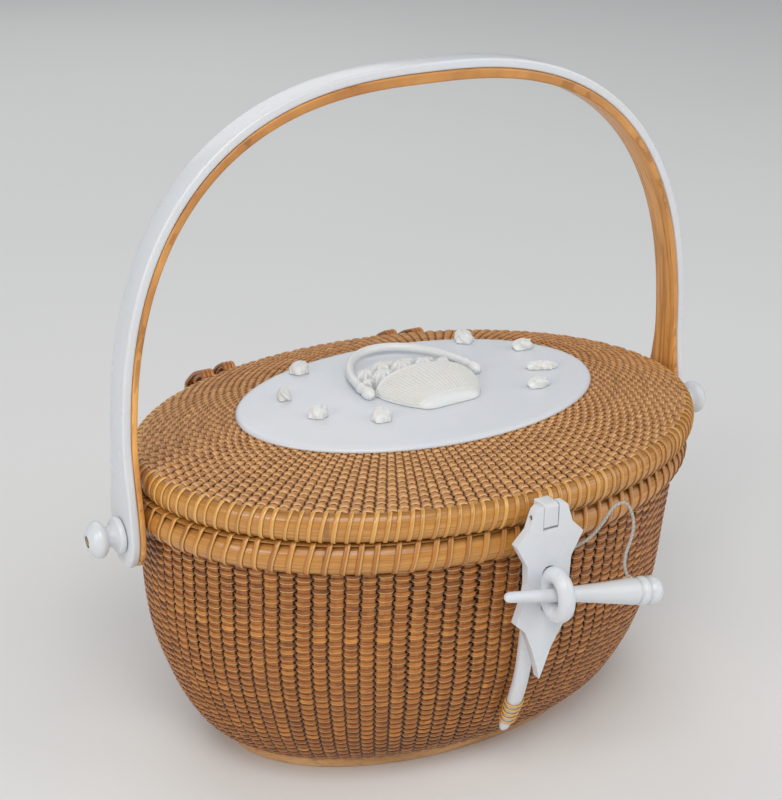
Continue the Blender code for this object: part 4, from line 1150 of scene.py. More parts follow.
@dataclass(frozen=True)
class HoopSection:
    """One hoop's section: its middle, its size in millimetres and its roundness."""

    name: str
    out: float
    height: float
    tall: float
    thick: float
    roundness: float
    flat: bool = False

    def outline(self, count: int = 48) -> np.ndarray:
        """The section's outline, as pairs of (out, height) in metres."""
        turn = np.linspace(0, 2 * np.pi, count, endpoint=False)
        c, s = np.cos(turn), np.sin(turn)
        tall = np.sign(c) * np.abs(c) ** self.roundness * self.tall / 2
        thick = np.sign(s) * np.abs(s) ** self.roundness * self.thick / 2
        out, up = (tall, thick) if self.flat else (thick, tall)
        return np.stack([self.out + out, self.height + up], axis=-1) * MM

    def bend(self, loom: StrandLoom, rim: Rim, finish: bpy.types.Material, body: Body) -> None:
        """Makes the hoop along its rim.

        Args:
            loom: The loom.
            rim: The rim that it follows.
            finish: The material.
            body: What it rides on.
        """
        angle = np.linspace(0, 2 * np.pi, 240, endpoint=False)
        up = np.tile((0.0, 0.0, 1.0), (len(angle), 1))
        line = rim.point(angle, self.out * MM, self.height * MM)
        # The flat rim strip, which faces up, gets a paler tint as a painted highlight.
        facing, tint = (up, 0.62) if self.flat else (rim.outward(angle), 0.5)
        strand = Strand(line, facing, tint, closed=True)
        size = (self.tall * MM, self.thick * MM)
        piece = loom.weave(self.name + "_cane", [strand], *size, finish, 28, self.roundness)
        dress(piece, body, Slot.HOOP, self.name)


def hull(points: np.ndarray) -> np.ndarray:
    """The convex outline of points in a plane, anticlockwise."""
    ordered = points[np.lexsort((points[:, 1], points[:, 0]))]
    chains = []
    for run in (ordered, ordered[::-1]):
        chain: list[np.ndarray] = []
        for point in run:
            while len(chain) > 1:
                a, b = chain[-1] - chain[-2], point - chain[-1]
                if a[0] * b[1] - a[1] * b[0] > 0:
                    break
                chain.pop()
            chain.append(point)
        chains.append(chain[:-1])
    return np.array(chains[0] + chains[1])


def lashing_loops(
    rim: Rim,
    course: OvalCourse,
    count: int,
    sections: Sequence[HoopSection],
    stand: float,
    seed: int,
    steps: int = 40,
) -> list[Strand]:
    """Closed loops of lashing drawn tight round a rim's hoops.

    Args:
        rim: The rim that they go round.
        course: Where the staves stand.
        count: How many loops.
        sections: The hoops' sections.
        stand: How far the strip's middle stands off the hoops.
        seed: The random seed.
        steps: Points round a loop.

    Returns:
        The loops.
    """
    draw = np.random.default_rng(seed)
    corners = hull(np.concatenate([section.outline() for section in sections]))
    edge = np.roll(corners, -1, axis=0) - corners
    walked = np.concatenate([[0], np.cumsum(np.linalg.norm(edge, axis=1))])
    place = np.linspace(0, walked[-1], steps, endpoint=False)
    ring = np.concatenate([corners, corners[:1]])
    loop = np.stack([np.interp(place, walked, ring[:, axis]) for axis in (0, 1)], axis=-1)
    tangent = unit(np.roll(loop, -1, axis=0) - np.roll(loop, 1, axis=0))
    loop = loop + np.stack([tangent[:, 1], -tangent[:, 0]], axis=-1) * stand
    low, high = loop[:, 1].min(), loop[:, 1].max()
    along = 0.42 * (loop[:, 1] - low) / (high - low)
    middle = loop.mean(axis=0)
    strands = []
    for number in range(count):
        shift = 0.05 * draw.standard_normal() + along * (1 + 0.18 * draw.standard_normal())
        angle = course.angle(number + 0.3 + shift)
        points = rim.point(angle, loop[:, 0], loop[:, 1])
        heart = rim.point(angle, middle[0], middle[1])
        tint = np.clip(0.5 + 0.22 * draw.standard_normal(), 0, 1)
        girth = 1 + 0.06 * draw.standard_normal()
        strands.append(Strand(points, section_normals(points, heart), tint, 0.0, girth, True))
    return strands


@dataclass
class BodyWork:
    """The woven body, its rim hoops and their lashing."""

    loom: StrandLoom
    finishes: Finishes
    staves: int = 104
    row_pitch: float = 1.5 * MM
    weaver_width: float = 1.95 * MM
    weaver_thickness: float = 0.66 * MM
    stave_width_share: float = 0.81
    stave_thickness: float = 0.75 * MM
    weave_low: float = 6.3 * MM
    weave_high: float = 107.0 * MM
    stave_low: float = 4.0 * MM
    stave_high: float = 114.6 * MM
    stave_forward: float = 0.15 * MM

    def build(self) -> None:
        """Makes every piece of the body."""
        self.wall = Wall()
        self.course = OvalCourse(*self.wall.rim, self.staves, 0.035)
        self.weave = Weave(self.staves)
        self.make_base()
        self.make_weavers()
        self.make_staves()
        self.make_hoops()
        self.make_lashing()

    def make_base(self) -> None:
        """The oak base with its upright edge and the tongue behind the staves."""
        profile = (
            (-30.0, 0.0), (0.0, 0.0), (0.55, 0.25), (0.8, 0.8), (1.1, 3.4), (0.9, 4.1), (0.3, 4.5),
            (-1.6, 4.6), (-1.7, 8.2), (-2.2, 8.5), (-30.0, 8.5),
        )
        rings = oval_rings(self.wall.base, profile, 200)
        piece = skinned("base_plate_oak", rings, self.finishes["oak_base"], sharp=50)
        dress(piece, Body.BASKET, Slot.OAK, "base_plate")

    def make_weavers(self) -> None:
        """Rows of cane that pass over and under the staves, in three pieces."""
        draw = np.random.default_rng(SEED + 1)
        rows = []
        heights = self.wall.heights(self.weave_low, self.weave_high, self.row_pitch)
        for number, height in enumerate(heights):
            share = number / (len(heights) - 1)
            sag = (0.55 - 0.3 * share) * MM
            # Painted shade: the rows are painted darker towards the bottom of the wall.
            middle = 0.20 + 0.14 * share
            rows.append(self.weave.row(draw, number, self.wall, self.course, height, sag, middle))
        third = len(rows) // 3
        parts = (rows[:third], rows[third : 2 * third], rows[2 * third :])
        for name, part in zip(("low", "middle", "high"), parts):
            piece = self.loom.weave(
                f"body_weavers_{name}", part, self.weaver_width, self.weaver_thickness,
                self.finishes["cane_weaver"], 6, 0.7,
            )
            dress(piece, Body.BASKET, Slot.CANE, "body_shell")

    def make_staves(self) -> None:
        """Upright staves between the base and the rim."""
        draw = np.random.default_rng(SEED + 2)
        strands = []
        heights = np.linspace(self.stave_low, self.stave_high, 30)
        for number in range(self.staves):
            angle = np.full(len(heights), self.course.angle(number))
            points = self.wall.point(angle, heights)
            normal = self.wall.normal(angle, heights)
            beside = self.wall.point(self.course.angle(number + 1), heights)
            pitch = np.linalg.norm(points - beside, axis=1)
            points = points - normal * (self.weave.face_depth - self.stave_forward)
            tint = np.clip(0.5 + 0.16 * draw.standard_normal(), 0, 1)
            strands.append(Strand(points, normal, tint, 0.0, pitch / pitch[-1]))
        width = self.course.outline / self.staves * self.stave_width_share
        piece = self.loom.weave(
            "body_staves", strands, width, self.stave_thickness,
            self.finishes["cane_stave"], 8, 0.45,
        )
        dress(piece, Body.BASKET, Slot.CANE, "body_shell")

    def make_hoops(self) -> None:
        """The outer and inner hoops and the strip along the top."""
        self.sections = (
            HoopSection("body_outer_hoop", -0.3, 109.6, 11.2, 9.6, 0.95),
            HoopSection("body_inner_hoop", -3.6, 109.7, 11.0, 2.6, 0.72),
            HoopSection("body_rim_strip", -0.8, 115.9, 7.0, 0.8, 0.4, True),
        )
        for section in self.sections:
            section.bend(self.loom, BODY_RIM, self.finishes["cane_hoop"], Body.BASKET)

    def make_lashing(self) -> None:
        """Cane lashed round the hoops between each pair of staves."""
        strands = lashing_loops(BODY_RIM, self.course, self.staves, self.sections, 0.18 * MM, SEED + 3)
        finish = self.finishes["cane_body_lashing"]
        piece = self.loom.weave("body_lashing", strands, 2.2 * MM, 0.7 * MM, finish, 8, 0.75)
        dress(piece, Body.BASKET, Slot.LACING)


def section_normals(points: np.ndarray, heart: np.ndarray) -> np.ndarray:
    """Directions square to a closed line, away from its heart."""
    tangent = unit(np.roll(points, -1, axis=0) - np.roll(points, 1, axis=0))
    away = points - heart
    away -= tangent * (away * tangent).sum(axis=1, keepdims=True)
    return unit(away)


@dataclass
class LidWork:
    """The woven lid, its hoops, their lashing and the plaque."""

    loom: StrandLoom
    finishes: Finishes
    staves: int = 146
    rows: int = 25
    weaver_width: float = 2.15 * MM
    weaver_thickness: float = 0.66 * MM
    stave_width_share: float = 0.78
    stave_thickness: float = 0.75 * MM
    stave_forward: float = 0.2 * MM
    arch: float = 0.011
    tint: float = 0.31

    def build(self) -> None:
        """Makes every piece of the lid's woven work."""
        self.dome = Dome()
        self.course = OvalCourse(*self.dome.outer, self.staves, 0.03, SEED + 10)
        self.weave = Weave(
            self.staves, sharpness=0.5, wander=0.0015, jitter=0.002, tint_spread=0.13, stave_tint=0.08,
            girth_spread=0.04,
        )
        self.make_weavers()
        self.make_staves()
        self.make_hoops()
        self.make_lashing()
        self.make_plaque()

    def make_weavers(self) -> None:
        """Rows of cane from the hoop to the plaque."""
        draw = np.random.default_rng(SEED + 11)
        strands = []
        for number, share in enumerate(np.linspace(-0.02, 0.975, self.rows)):
            strands.append(
                self.weave.row(draw, number, self.dome, self.course, share, -self.arch, self.tint)
            )
        half = len(strands) // 2
        for name, part in (("outer", strands[:half]), ("inner", strands[half:])):
            piece = self.loom.weave(
                f"lid_weavers_{name}", part, self.weaver_width, self.weaver_thickness,
                self.finishes["cane_lid_weaver"], 6, 0.7,
            )
            dress(piece, Body.LID, Slot.CANE, "lid_shell")

    def make_staves(self) -> None:
        """Staves that fan out from the plaque and turn down behind the hoop."""
        draw = np.random.default_rng(SEED + 12)
        strands = []
        shares = np.linspace(1.0, -0.02, 14)
        outs = np.array((-0.55, -0.4, -0.4, -0.4)) * MM
        levels = np.array((127.7, 126.8, 125.0, 118.6)) * MM
        for number in range(self.staves):
            angle = self.course.angle(number)
            top = self.dome.point(angle, shares)
            normal = self.dome.normal(angle, shares)
            beside = self.dome.point(self.course.angle(number + 1), shares)
            pitch = np.linalg.norm(top - beside, axis=1)
            top = top - normal * (self.weave.face_depth - self.stave_forward)
            down = LID_RIM.point(angle, outs, levels)
            points = np.concatenate([top, down])
            facing = np.concatenate([normal, np.tile(LID_RIM.outward(angle), (len(down), 1))])
            tint = np.clip(0.5 + 0.2 * draw.standard_normal(), 0, 1)
            girth = np.concatenate([pitch / pitch[-1], np.ones(len(down))])
            strands.append(Strand(points, facing, tint, 0.0, girth))
        width = self.course.outline / self.staves * self.stave_width_share
        piece = self.loom.weave(
            "lid_staves", strands, width, self.stave_thickness,
            self.finishes["cane_lid_stave"], 6, 0.5,
        )
        dress(piece, Body.LID, Slot.CANE, "lid_shell")

    def make_hoops(self) -> None:
        """The lid's outer and inner hoops."""
        self.sections = (
            HoopSection("lid_outer_hoop", -1.3, 122.9, 11.0, 7.6, 0.95),
            HoopSection("lid_inner_hoop", -3.6, 122.15, 8.3, 2.6, 0.72),
        )
        for section in self.sections:
            section.bend(self.loom, LID_RIM, self.finishes["cane_hoop"], Body.LID)

    def make_lashing(self) -> None:
        """Cane lashed round the lid's hoops between each pair of staves."""
        strands = lashing_loops(LID_RIM, self.course, self.staves, self.sections, 0.16 * MM, SEED + 13)
        finish = self.finishes["cane_lashing"]
        piece = self.loom.weave("lid_lashing", strands, 1.7 * MM, 0.66 * MM, finish, 8, 0.75)
        dress(piece, Body.LID, Slot.LACING)

    def make_plaque(self) -> None:
        """The smooth ivory plaque with its rounded edge."""
        profile = (
            (-3.0, 132.6), (-0.9, 132.6), (-0.35, 132.7), (-0.08, 132.9), (0.0, 133.15),
            (-0.08, 133.45), (-0.3, 133.85), (-0.7, 134.25), (-1.3, 134.5), (-2.1, 134.6),
            (-4.0, 134.6),
        )
        rings = oval_rings(PLAQUE, profile, 256)
        piece = skinned("lid_plaque_ivory", rings, self.finishes["ivory_plaque"])
        dress(piece, Body.LID, Slot.IVORY, "lid_plaque")


@dataclass
class Carving:
    """The small carved basket with its bow and filling, and the eight shells."""

    loom: StrandLoom
    finishes: Finishes
    low: float = 134.9 * MM
    centre: tuple[float, float] = (3.6 * MM, 2.6 * MM)
    turn: float = math.radians(3.0)

    def place(self, points: np.ndarray) -> np.ndarray:
        """Moves points from the carving's own frame to the plaque."""
        c, s = math.cos(self.turn), math.sin(self.turn)
        x = self.centre[0] + c * points[..., 0] - s * points[..., 1]
        y = self.centre[1] + s * points[..., 0] + c * points[..., 1]
        return np.stack([x, y, points[..., 2] + self.low], axis=-1)

    def build(self) -> None:
        """Makes every carved piece."""
        self.make_basket()
        self.make_bow()
        self.make_spray()
        self.make_shells()

    def make_basket(self) -> None:
        """The half-relief basket: smooth rounded foot, fine woven face and rolled mouth."""
        levels, around = 150, 200
        columns, rows = 34, 22
        walk = np.linspace(0, 1, levels)[:, None]
        turn = np.linspace(0, np.pi, around)[None, :]
        foot = np.clip(walk / 0.16, 0, 1)
        share = np.clip((walk - 0.16) / 0.84, 0, 1)
        bulge = np.sin(foot * np.pi / 2)
        half = (8.0 + 5.5 * bulge + 8.0 * np.sin(share * np.pi / 2) ** 0.8) * MM
        relief = (0.2 + 3.9 * bulge + 2.9 * np.sin(share * np.pi * 0.62)) * MM
        seam = np.exp(-(((walk - 0.17) / 0.012) ** 2)) * 0.22 * MM
        mouth = np.exp(-(((share - 0.965) / 0.03) ** 2)) * 0.4 * MM
        across = turn / np.pi * columns
        weft = np.abs(np.sin(np.pi * (share * rows + 0.5 * (np.floor(across) % 2))))
        cell = np.abs(np.sin(np.pi * across)) ** 0.7 * weft**0.7
        woven = np.clip(share / 0.03, 0, 1) * np.clip((0.94 - share) / 0.03, 0, 1)
        woven = woven * np.clip((np.sin(turn) - 0.06) / 0.1, 0, 1)
        lift = cell * 0.55 * MM * woven + mouth + seam
        x = -(half + lift * np.abs(np.cos(turn))) * np.cos(turn)
        y = (-22.4 + 3.2 * foot**1.6 + 19.2 * share + 5.5 * share**2 * np.sin(turn) ** 1.5) * MM
        z = (relief + lift) * np.sin(turn) ** 0.75
        face = self.place(np.stack(np.broadcast_arrays(x, y, z), axis=-1))
        # How low each point lies between the woven cells, for the painted shade in the hollows.
        low = np.clip(1 - cell, 0, 1) * woven
        piece = skinned("carved_basket_ivory", face, self.finishes["ivory_carved"], sharp=60)
        self.mark_hollow_shade(piece, low.ravel())
        dress(piece, Body.LID, Slot.CARVING, "carved_basket")

    def mark_hollow_shade(self, piece: bpy.types.Object, low: np.ndarray) -> None:
        """Stores how deep each point lies in the carving, which sets its painted shade."""
        values = piece.data.attributes.new("low", "FLOAT", "POINT")
        values.data.foreach_set("value", low.astype(np.float32))

    def make_bow(self) -> None:
        """The carved basket's bow, with a ring and a knob at each foot."""
        turn = np.linspace(-0.1, np.pi + 0.1, 120)
        x = -25.0 * MM * np.cos(turn)
        y = 36.0 * MM * np.sin(turn)
        z = 1.9 * MM + 1.2 * MM * np.sin(turn)
        points = self.place(np.stack([x, y, z], axis=-1))
        outward = np.tile((0.0, 0.0, 1.0), (len(turn), 1))
        near = np.minimum(turn, np.pi - turn)
        knob = np.sqrt(np.clip(1 - (near / 0.1) ** 2, 0, 1))
        foot = np.maximum(1 + 0.35 * np.exp(-(((near - 0.14) / 0.03) ** 2)), 1.45 * knob)
        foot = np.where(near < 0, np.maximum(1.45 * knob, 0.1), foot)
        piece = self.loom.weave(
            "carved_bow_ivory", [Strand(points, outward, 0.5, 0.0, foot)],
            3.5 * MM, 3.5 * MM, self.finishes["ivory_carved"], 20, 1.0,
        )
        dress(piece, Body.LID, Slot.CARVING, "carved_basket_bow")

    def make_spray(self) -> None:
        """The heap of small shells and buds in the basket's mouth."""
        draw = np.random.default_rng(SEED + 20)
        pieces = []
        for x, y, size, height, lobes in (
            (-16.0, 10.8, 3.7, 4.6, 7), (-6.8, 14.2, 4.2, 4.4, 6), (4.0, 15.2, 3.3, 3.2, 5),
            (11.6, 12.8, 2.6, 2.8, 5), (16.6, 10.0, 2.5, 2.6, 6), (-11.5, 6.0, 4.2, 5.4, 8),
            (-2.0, 9.0, 4.4, 5.8, 7), (6.8, 8.4, 3.8, 5.2, 6), (13.2, 5.4, 3.0, 4.4, 5),
            (-18.4, 5.4, 2.6, 3.2, 5), (-1.2, 18.4, 2.4, 2.2, 4),
        ):
            place = (x * 1.1 * MM, (y * 1.08 + 1.6) * MM)
            pieces.append(self.bud(*place, size * 1.14 * MM, (height + 0.9) * MM, lobes, draw))
        piece = joined("carved_spray_ivory", pieces)
        dress(piece, Body.LID, Slot.CARVING, "carved_spray")

    def bud(
        self, x: float, y: float, size: float, height: float, lobes: int, draw: np.random.Generator
    ) -> bpy.types.Object:
        """One rounded, lobed bud of the spray."""
        count, rings = 40, 14
        phase = draw.uniform(0, 2 * np.pi)
        turn = np.linspace(0, 2 * np.pi, count, endpoint=False)
        rows, depth = [], []
        for k in range(rings):
            rise = k / (rings - 1)
            radius = size * np.cos(rise * np.pi / 2 * 0.985) ** 0.7
            lobe = np.cos(lobes * turn + phase + 1.4 * rise)
            swell = 1 + 0.2 * lobe * (1 - rise * 0.6)
            px = x + radius * swell * np.cos(turn)
            py = y + radius * swell * np.sin(turn) * 0.8
            pz = height * np.sin(rise * np.pi / 2) + 0.25 * size * (1 - rise) * rise * lobe
            rows.append(np.stack([px, py, np.maximum(pz, 0.0)], axis=-1))
            # Painted shade between the bud's lobes, less towards its top.
            depth.append(np.clip(0.45 - 0.5 * lobe, 0, 1) * (1 - 0.3 * rise))
        piece = skinned("bud", self.place(np.array(rows)), self.finishes["ivory_carved"], sharp=70)
        self.mark_hollow_shade(piece, np.concatenate(depth))
        return piece

    def make_shells(self) -> None:
        """Eight little shells round the plaque: round, whorled and long ones."""
        places = (
            (-0.43, 0.775, 20.0, 4.0, 3.8, 3.9, 0), (-0.66, 0.35, 75.0, 4.3, 3.0, 3.4, 1),
            (-0.62, -0.09, -15.0, 3.9, 3.7, 4.0, 0), (-0.36, -0.38, 35.0, 4.4, 3.9, 4.1, 0),
            (0.585, 0.72, 90.0, 4.1, 4.0, 4.2, 0), (0.805, 0.345, -20.0, 4.8, 3.4, 3.8, 1),
            (0.73, -0.11, -22.0, 6.6, 2.5, 3.0, 2), (0.57, -0.415, -10.0, 4.9, 3.0, 3.6, 1),
        )
        turn = np.linspace(0, 2 * np.pi, 72, endpoint=False)
        for number, (x_share, y_share, degrees, long, wide, tall, kind) in enumerate(places, 1):
            rings, depth = [], []
            for rise in np.linspace(0, 1, 24):
                ribs = self.ribs(kind, turn, rise)
                swell = 1 - (0.07, 0.2, 0.12)[kind] * (1 - ribs) * (1 - rise * 0.4)
                size = MM * math.cos(rise * math.pi / 2) ** 0.6 * swell
                size = size * (1 + 0.08 * np.sin(5 * turn + 9 * rise + number))
                u = long * size * np.cos(turn) + (0.42, 0.3, 0.1)[kind] * long * rise**1.5 * MM
                v = wide * size * np.sin(turn)
                w = tall * MM * math.sin(rise * math.pi / 2) ** 0.9 * (1 - 0.08 * (1 - ribs))
                a = math.radians(degrees)
                x = PLAQUE[0] * x_share + u * math.cos(a) - v * math.sin(a)
                y = PLAQUE[1] * y_share + u * math.sin(a) + v * math.cos(a)
                rings.append(np.stack([x, y, w + self.low], axis=-1))
                # Painted shade between the shell's ribs, less towards its top.
                depth.append((1 - ribs) * (1 - 0.5 * rise))
            name = f"plaque_shell_{number}"
            piece = skinned(name + "_ivory", np.array(rings), self.finishes["ivory_carved"], sharp=70)
            self.mark_hollow_shade(piece, np.concatenate(depth))
            dress(piece, Body.LID, Slot.CARVING, name)

    def ribs(self, kind: int, turn: np.ndarray, rise: float) -> np.ndarray:
        """How high a shell's face stands round one of its levels, from 0 to 1."""
        if kind == 0:
            return np.abs(np.cos(7 * turn)) ** 0.5 * np.ones_like(turn)
        if kind == 1:
            return 0.5 + 0.5 * np.cos(3 * turn + 8 * rise)
        return 0.5 + 0.5 * np.cos(14 * np.cos(turn) + 2 * np.sin(turn))


def joined(name: str, pieces: Sequence[bpy.types.Object]) -> bpy.types.Object:
    """One piece in place of several that share a finish.

    Args:
        name: The new piece's name.
        pieces: The pieces, which are removed.

    Returns:
        The new piece.
    """
    bm = bmesh.new()
    finish = pieces[0].data.materials[0]
    for piece in pieces:
        bm.from_mesh(piece.data)
        bpy.data.objects.remove(piece)
    return piece_of(name, bm, finish)


@dataclass
class HandleWork:
    """The bent handle of two strips, its knobs, pins and bushes."""

    finishes: Finishes
    nodes: dict[str, bpy.types.Object]
    pivot: float = 103.0 * MM
    half_span: float = 125.0 * MM
    spring: float = 125.0 * MM
    rise: float = 138.2 * MM
    roundness: float = 2.58
    ear_width: float = 20.5 * MM
    leg_width: float = 12.4 * MM
    right_shift: float = 1.4 * MM
    right_neck: float = 3.6 * MM
    top_width: float = 10.5 * MM
    ear_drop: float = 12.0 * MM
    bore: float = 1.75 * MM

    def build(self) -> None:
        """Makes every piece of the handle and its pivots."""
        self.make_strip("handle_ivory", (0.0, 0.0), (3.4, 3.6), 0.9, "ivory_polished", Slot.IVORY)
        self.make_strip("handle_wood", (3.5, 3.7), (2.3, 4.0), 0.8, "oak_handle", Slot.OAK)
        for side_name, side in (("left", -1.0), ("right", 1.0)):
            self.make_knob(side_name, side)
            keep_solid(self.nodes[f"pivot_washer_{side_name}"], self.finishes["ivory_polished"])
            self.make_bush(side_name, side)
            self.make_pin(side_name, side)

    def shift(self, side: float) -> float:
        """How far a side's pivot parts stand out beyond the other side's."""
        return self.right_shift if side > 0 else 0.0

    def turn(
        self,
        name: str,
        side: float,
        profile: Sequence[tuple[float, float]],
        finish: str,
        *replaced: str,
        bored: bool = True,
    ) -> None:
        """Turns one pivot piece about the pivot's axis.

        Args:
            name: The piece's name.
            side: 1 on the right, -1 on the left.
            profile: Pairs of distance out along the axis and radius.
            finish: The material's name.
            *replaced: The solids that it takes the place of.
            bored: Whether it has a bore.
        """
        slot = Slot.BRASS if finish.startswith("brass") else Slot.IVORY
        start, axis = Vector((0.0, 0.0, self.pivot)), Vector((side, 0.0, 0.0))
        piece = lathe(name, profile, start, axis, self.finishes[finish], bored=bored)
        dress(piece, Body.BASKET, slot, *replaced)

    def make_bush(self, side_name: str, side: float) -> None:
        """Makes one bush between the hoop and the handle's foot."""
        node = f"pivot_bush_{side_name}"
        low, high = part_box(node)
        inner, outer = (low.x, high.x) if side > 0 else (-high.x, -low.x)
        outer += self.shift(side)
        radius = (high.z - low.z) / 2
        ease = 0.3 * MM
        profile = (
            (inner, self.bore), (inner, radius), (outer - ease, radius), (outer, radius - ease),
            (outer, self.bore),
        )
        self.turn(node + "_ivory", side, profile, "ivory_polished", node)

    def stations(self) -> tuple[np.ndarray, np.ndarray, np.ndarray, np.ndarray]:
        """Edge points, outward normals, widths and shares up the arch, along the whole handle."""
        low = self.pivot - self.ear_drop
        z_leg = low + (self.spring - low) * np.linspace(0, 1, 44, endpoint=False) ** 1.15
        down = np.clip((self.pivot - z_leg) / self.ear_drop, 0, 1)
        tip = self.ear_width * np.sqrt(1 - down**2 * (1 - 0.46**2))
        turn = np.linspace(0, np.pi / 2, 91)
        power = 2 / self.roundness
        c = np.clip(np.cos(turn), 0, 1) ** power
        c[-1] = 0.0
        s = np.sin(turn) ** power
        x = np.concatenate([np.full(len(z_leg), self.half_span), self.half_span * c])
        z = np.concatenate([z_leg, self.spring + self.rise * s])
        nx = np.concatenate([np.ones(len(z_leg)), c ** (self.roundness - 1) / self.half_span])
        nz = np.concatenate([np.zeros(len(z_leg)), s ** (self.roundness - 1) / self.rise])
        share = np.concatenate([np.zeros(len(z_leg)), np.linspace(0, 1, 91)])
        up = np.clip((z - self.pivot) / (38.0 * MM), 0, 1)
        flare = (self.ear_width - self.leg_width) * (1 - up * up * (3 - 2 * up))
        width = self.leg_width + (self.top_width - self.leg_width) * share + flare
        width[: len(z_leg)] = np.where(z_leg < self.pivot, tip, width[: len(z_leg)])
        points = np.stack([x, np.zeros_like(x), z], axis=-1)
        normals = unit(np.stack([nx, np.zeros_like(nx), nz], axis=-1))
        flip = np.array((-1.0, 1.0, 1.0))
        stretch = np.array((1 + self.right_shift / self.half_span, 1.0, 1.0))
        back = slice(-2, None, -1)
        return (
            np.concatenate([points * stretch, points[back] * flip]),
            np.concatenate([normals, normals[back] * flip]),
            np.concatenate([width, width[back]]),
            np.concatenate([share, share[back]]),
        )

    def make_strip(
        self,
        name: str,
        depth: tuple[float, float],
        thick: tuple[float, float],
        corner: float,
        finish: str,
        slot: Slot,
    ) -> None:
        """Makes one strip of the handle with rounded corners.

        Args:
            name: The node's name.
            depth: Depth of its outer face in millimetres, at the ears and at the top.
            thick: Its thickness in millimetres, at the ears and at the top.
            corner: Radius of its corners in millimetres.
            finish: The material's name.
            slot: The finish slot.
        """
        points, normals, width, share = self.stations()
        starts, sizes = (size * MM for size in between(*zip(depth, thick), share))
        rings = []
        side = np.array((0.0, 1.0, 0.0))
        for p, n, w, s, t in zip(points, normals, width, starts, sizes):
            half = w / 2
            radius = min(corner * MM, t * 0.45)
            ring = []
            for cy, cd, first in (
                (half - radius, radius, 90.0), (half - radius, t - radius, 0.0),
                (radius - half, t - radius, -90.0), (radius - half, radius, -180.0),
            ):
                for step in range(5):
                    a = math.radians(first - 90.0 * step / 4)
                    across = cy + radius * math.cos(a)
                    depth = cd - radius * math.sin(a)
                    ring.append(p + side * across - n * (s + depth))
            rings.append(ring)
        piece = skinned(name + "_strip", np.array(rings), self.finishes[finish], sharp=50)
        dress(piece, Body.HANDLE, slot, name)

    def make_knob(self, side_name: str, side: float) -> None:
        """Makes one turned ivory knob."""
        start = self.half_span + 0.3 * MM + self.shift(side)
        neck = self.right_neck if side > 0 else 0.0
        profile = (
            (0.0, 1.75), (0.0, 6.2), (0.3, 6.7), (0.9, 6.95), (1.9, 6.9), (2.4, 6.6), (2.7, 5.8),
            (3.05, 4.9), (3.7, 4.2), (4.7, 3.9), (5.6, 4.15), (6.3, 4.95), (6.8, 5.9), (7.5, 6.6),
            (8.5, 6.95), (9.6, 6.85), (10.7, 6.3), (11.7, 5.3), (12.5, 4.1), (12.95, 3.1), (13.1, 2.6),
            (12.95, 2.35), (12.6, 2.25), (12.6, 1.75),
        )
        stretched = [
            (start + along * MM + neck * min(1.0, max(0.0, (along - 3.0) / 1.8)), radius * MM)
            for along, radius in profile
        ]
        node = f"pivot_knob_{side_name}"
        self.turn(node + "_ivory", side, stretched, "ivory_polished", node)

    def make_pin(self, side_name: str, side: float) -> None:
        """Makes one pivot pin with its domed head inside the basket."""
        node = f"pivot_pin_{side_name}"
        low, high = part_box(node)
        inner = low.x if side > 0 else -high.x
        outer = high.x + self.right_shift + self.right_neck if side > 0 else -low.x
        profile = (
            (inner, 0.2 * MM), (inner, 1.2 * MM), (inner + 0.3 * MM, 2.2 * MM),
            (inner + 0.7 * MM, 2.75 * MM), (inner + 1.0 * MM, 2.8 * MM), (inner + 1.0 * MM, 1.6 * MM),
            (outer - 0.4 * MM, 1.6 * MM), (outer - 0.15 * MM, 1.5 * MM), (outer, 1.1 * MM),
            (outer + 0.05 * MM, 0.1 * MM),
        )
        self.turn(node + "_brass", side, profile, "brass_old", node, bored=False)
        seam = (
            (outer - 0.4 * MM, 1.55 * MM), (outer - 0.4 * MM, 2.35 * MM), (outer - 0.2 * MM, 2.35 * MM),
            (outer - 0.25 * MM, 1.55 * MM),
        )
        self.turn(node + "_seam", side, seam, "brass_dark")


def lathe(
    name: str,
    profile: Sequence[tuple[float, float]],
    start: Vector,
    axis: Vector,
    finish: bpy.types.Material,
    steps: int = 48,
    bored: bool = False,
    sharp: float = 35.0,
) -> bpy.types.Object:
    """Turns a profile about an axis.

    Args:
        name: The piece's name.
        profile: Pairs of distance along the axis and radius.
        start: Where the axis starts.
        axis: Its direction.
        finish: The material.
        steps: Points round the axis.
        bored: Whether the last ring joins the first, as through a bore.
        sharp: Angle in degrees over which an edge stays crisp.

    Returns:
        The piece.
    """
    side = axis.orthogonal().normalized()
    other = axis.cross(side)
    turn = np.linspace(0, 2 * np.pi, steps, endpoint=False)
    ring = np.cos(turn)[:, None] * np.array(side) + np.sin(turn)[:, None] * np.array(other)
    rings = [np.array(start + axis * along) + ring * radius for along, radius in profile]
    return skinned(name, np.array(rings), finish, closed=bored, sharp=sharp)


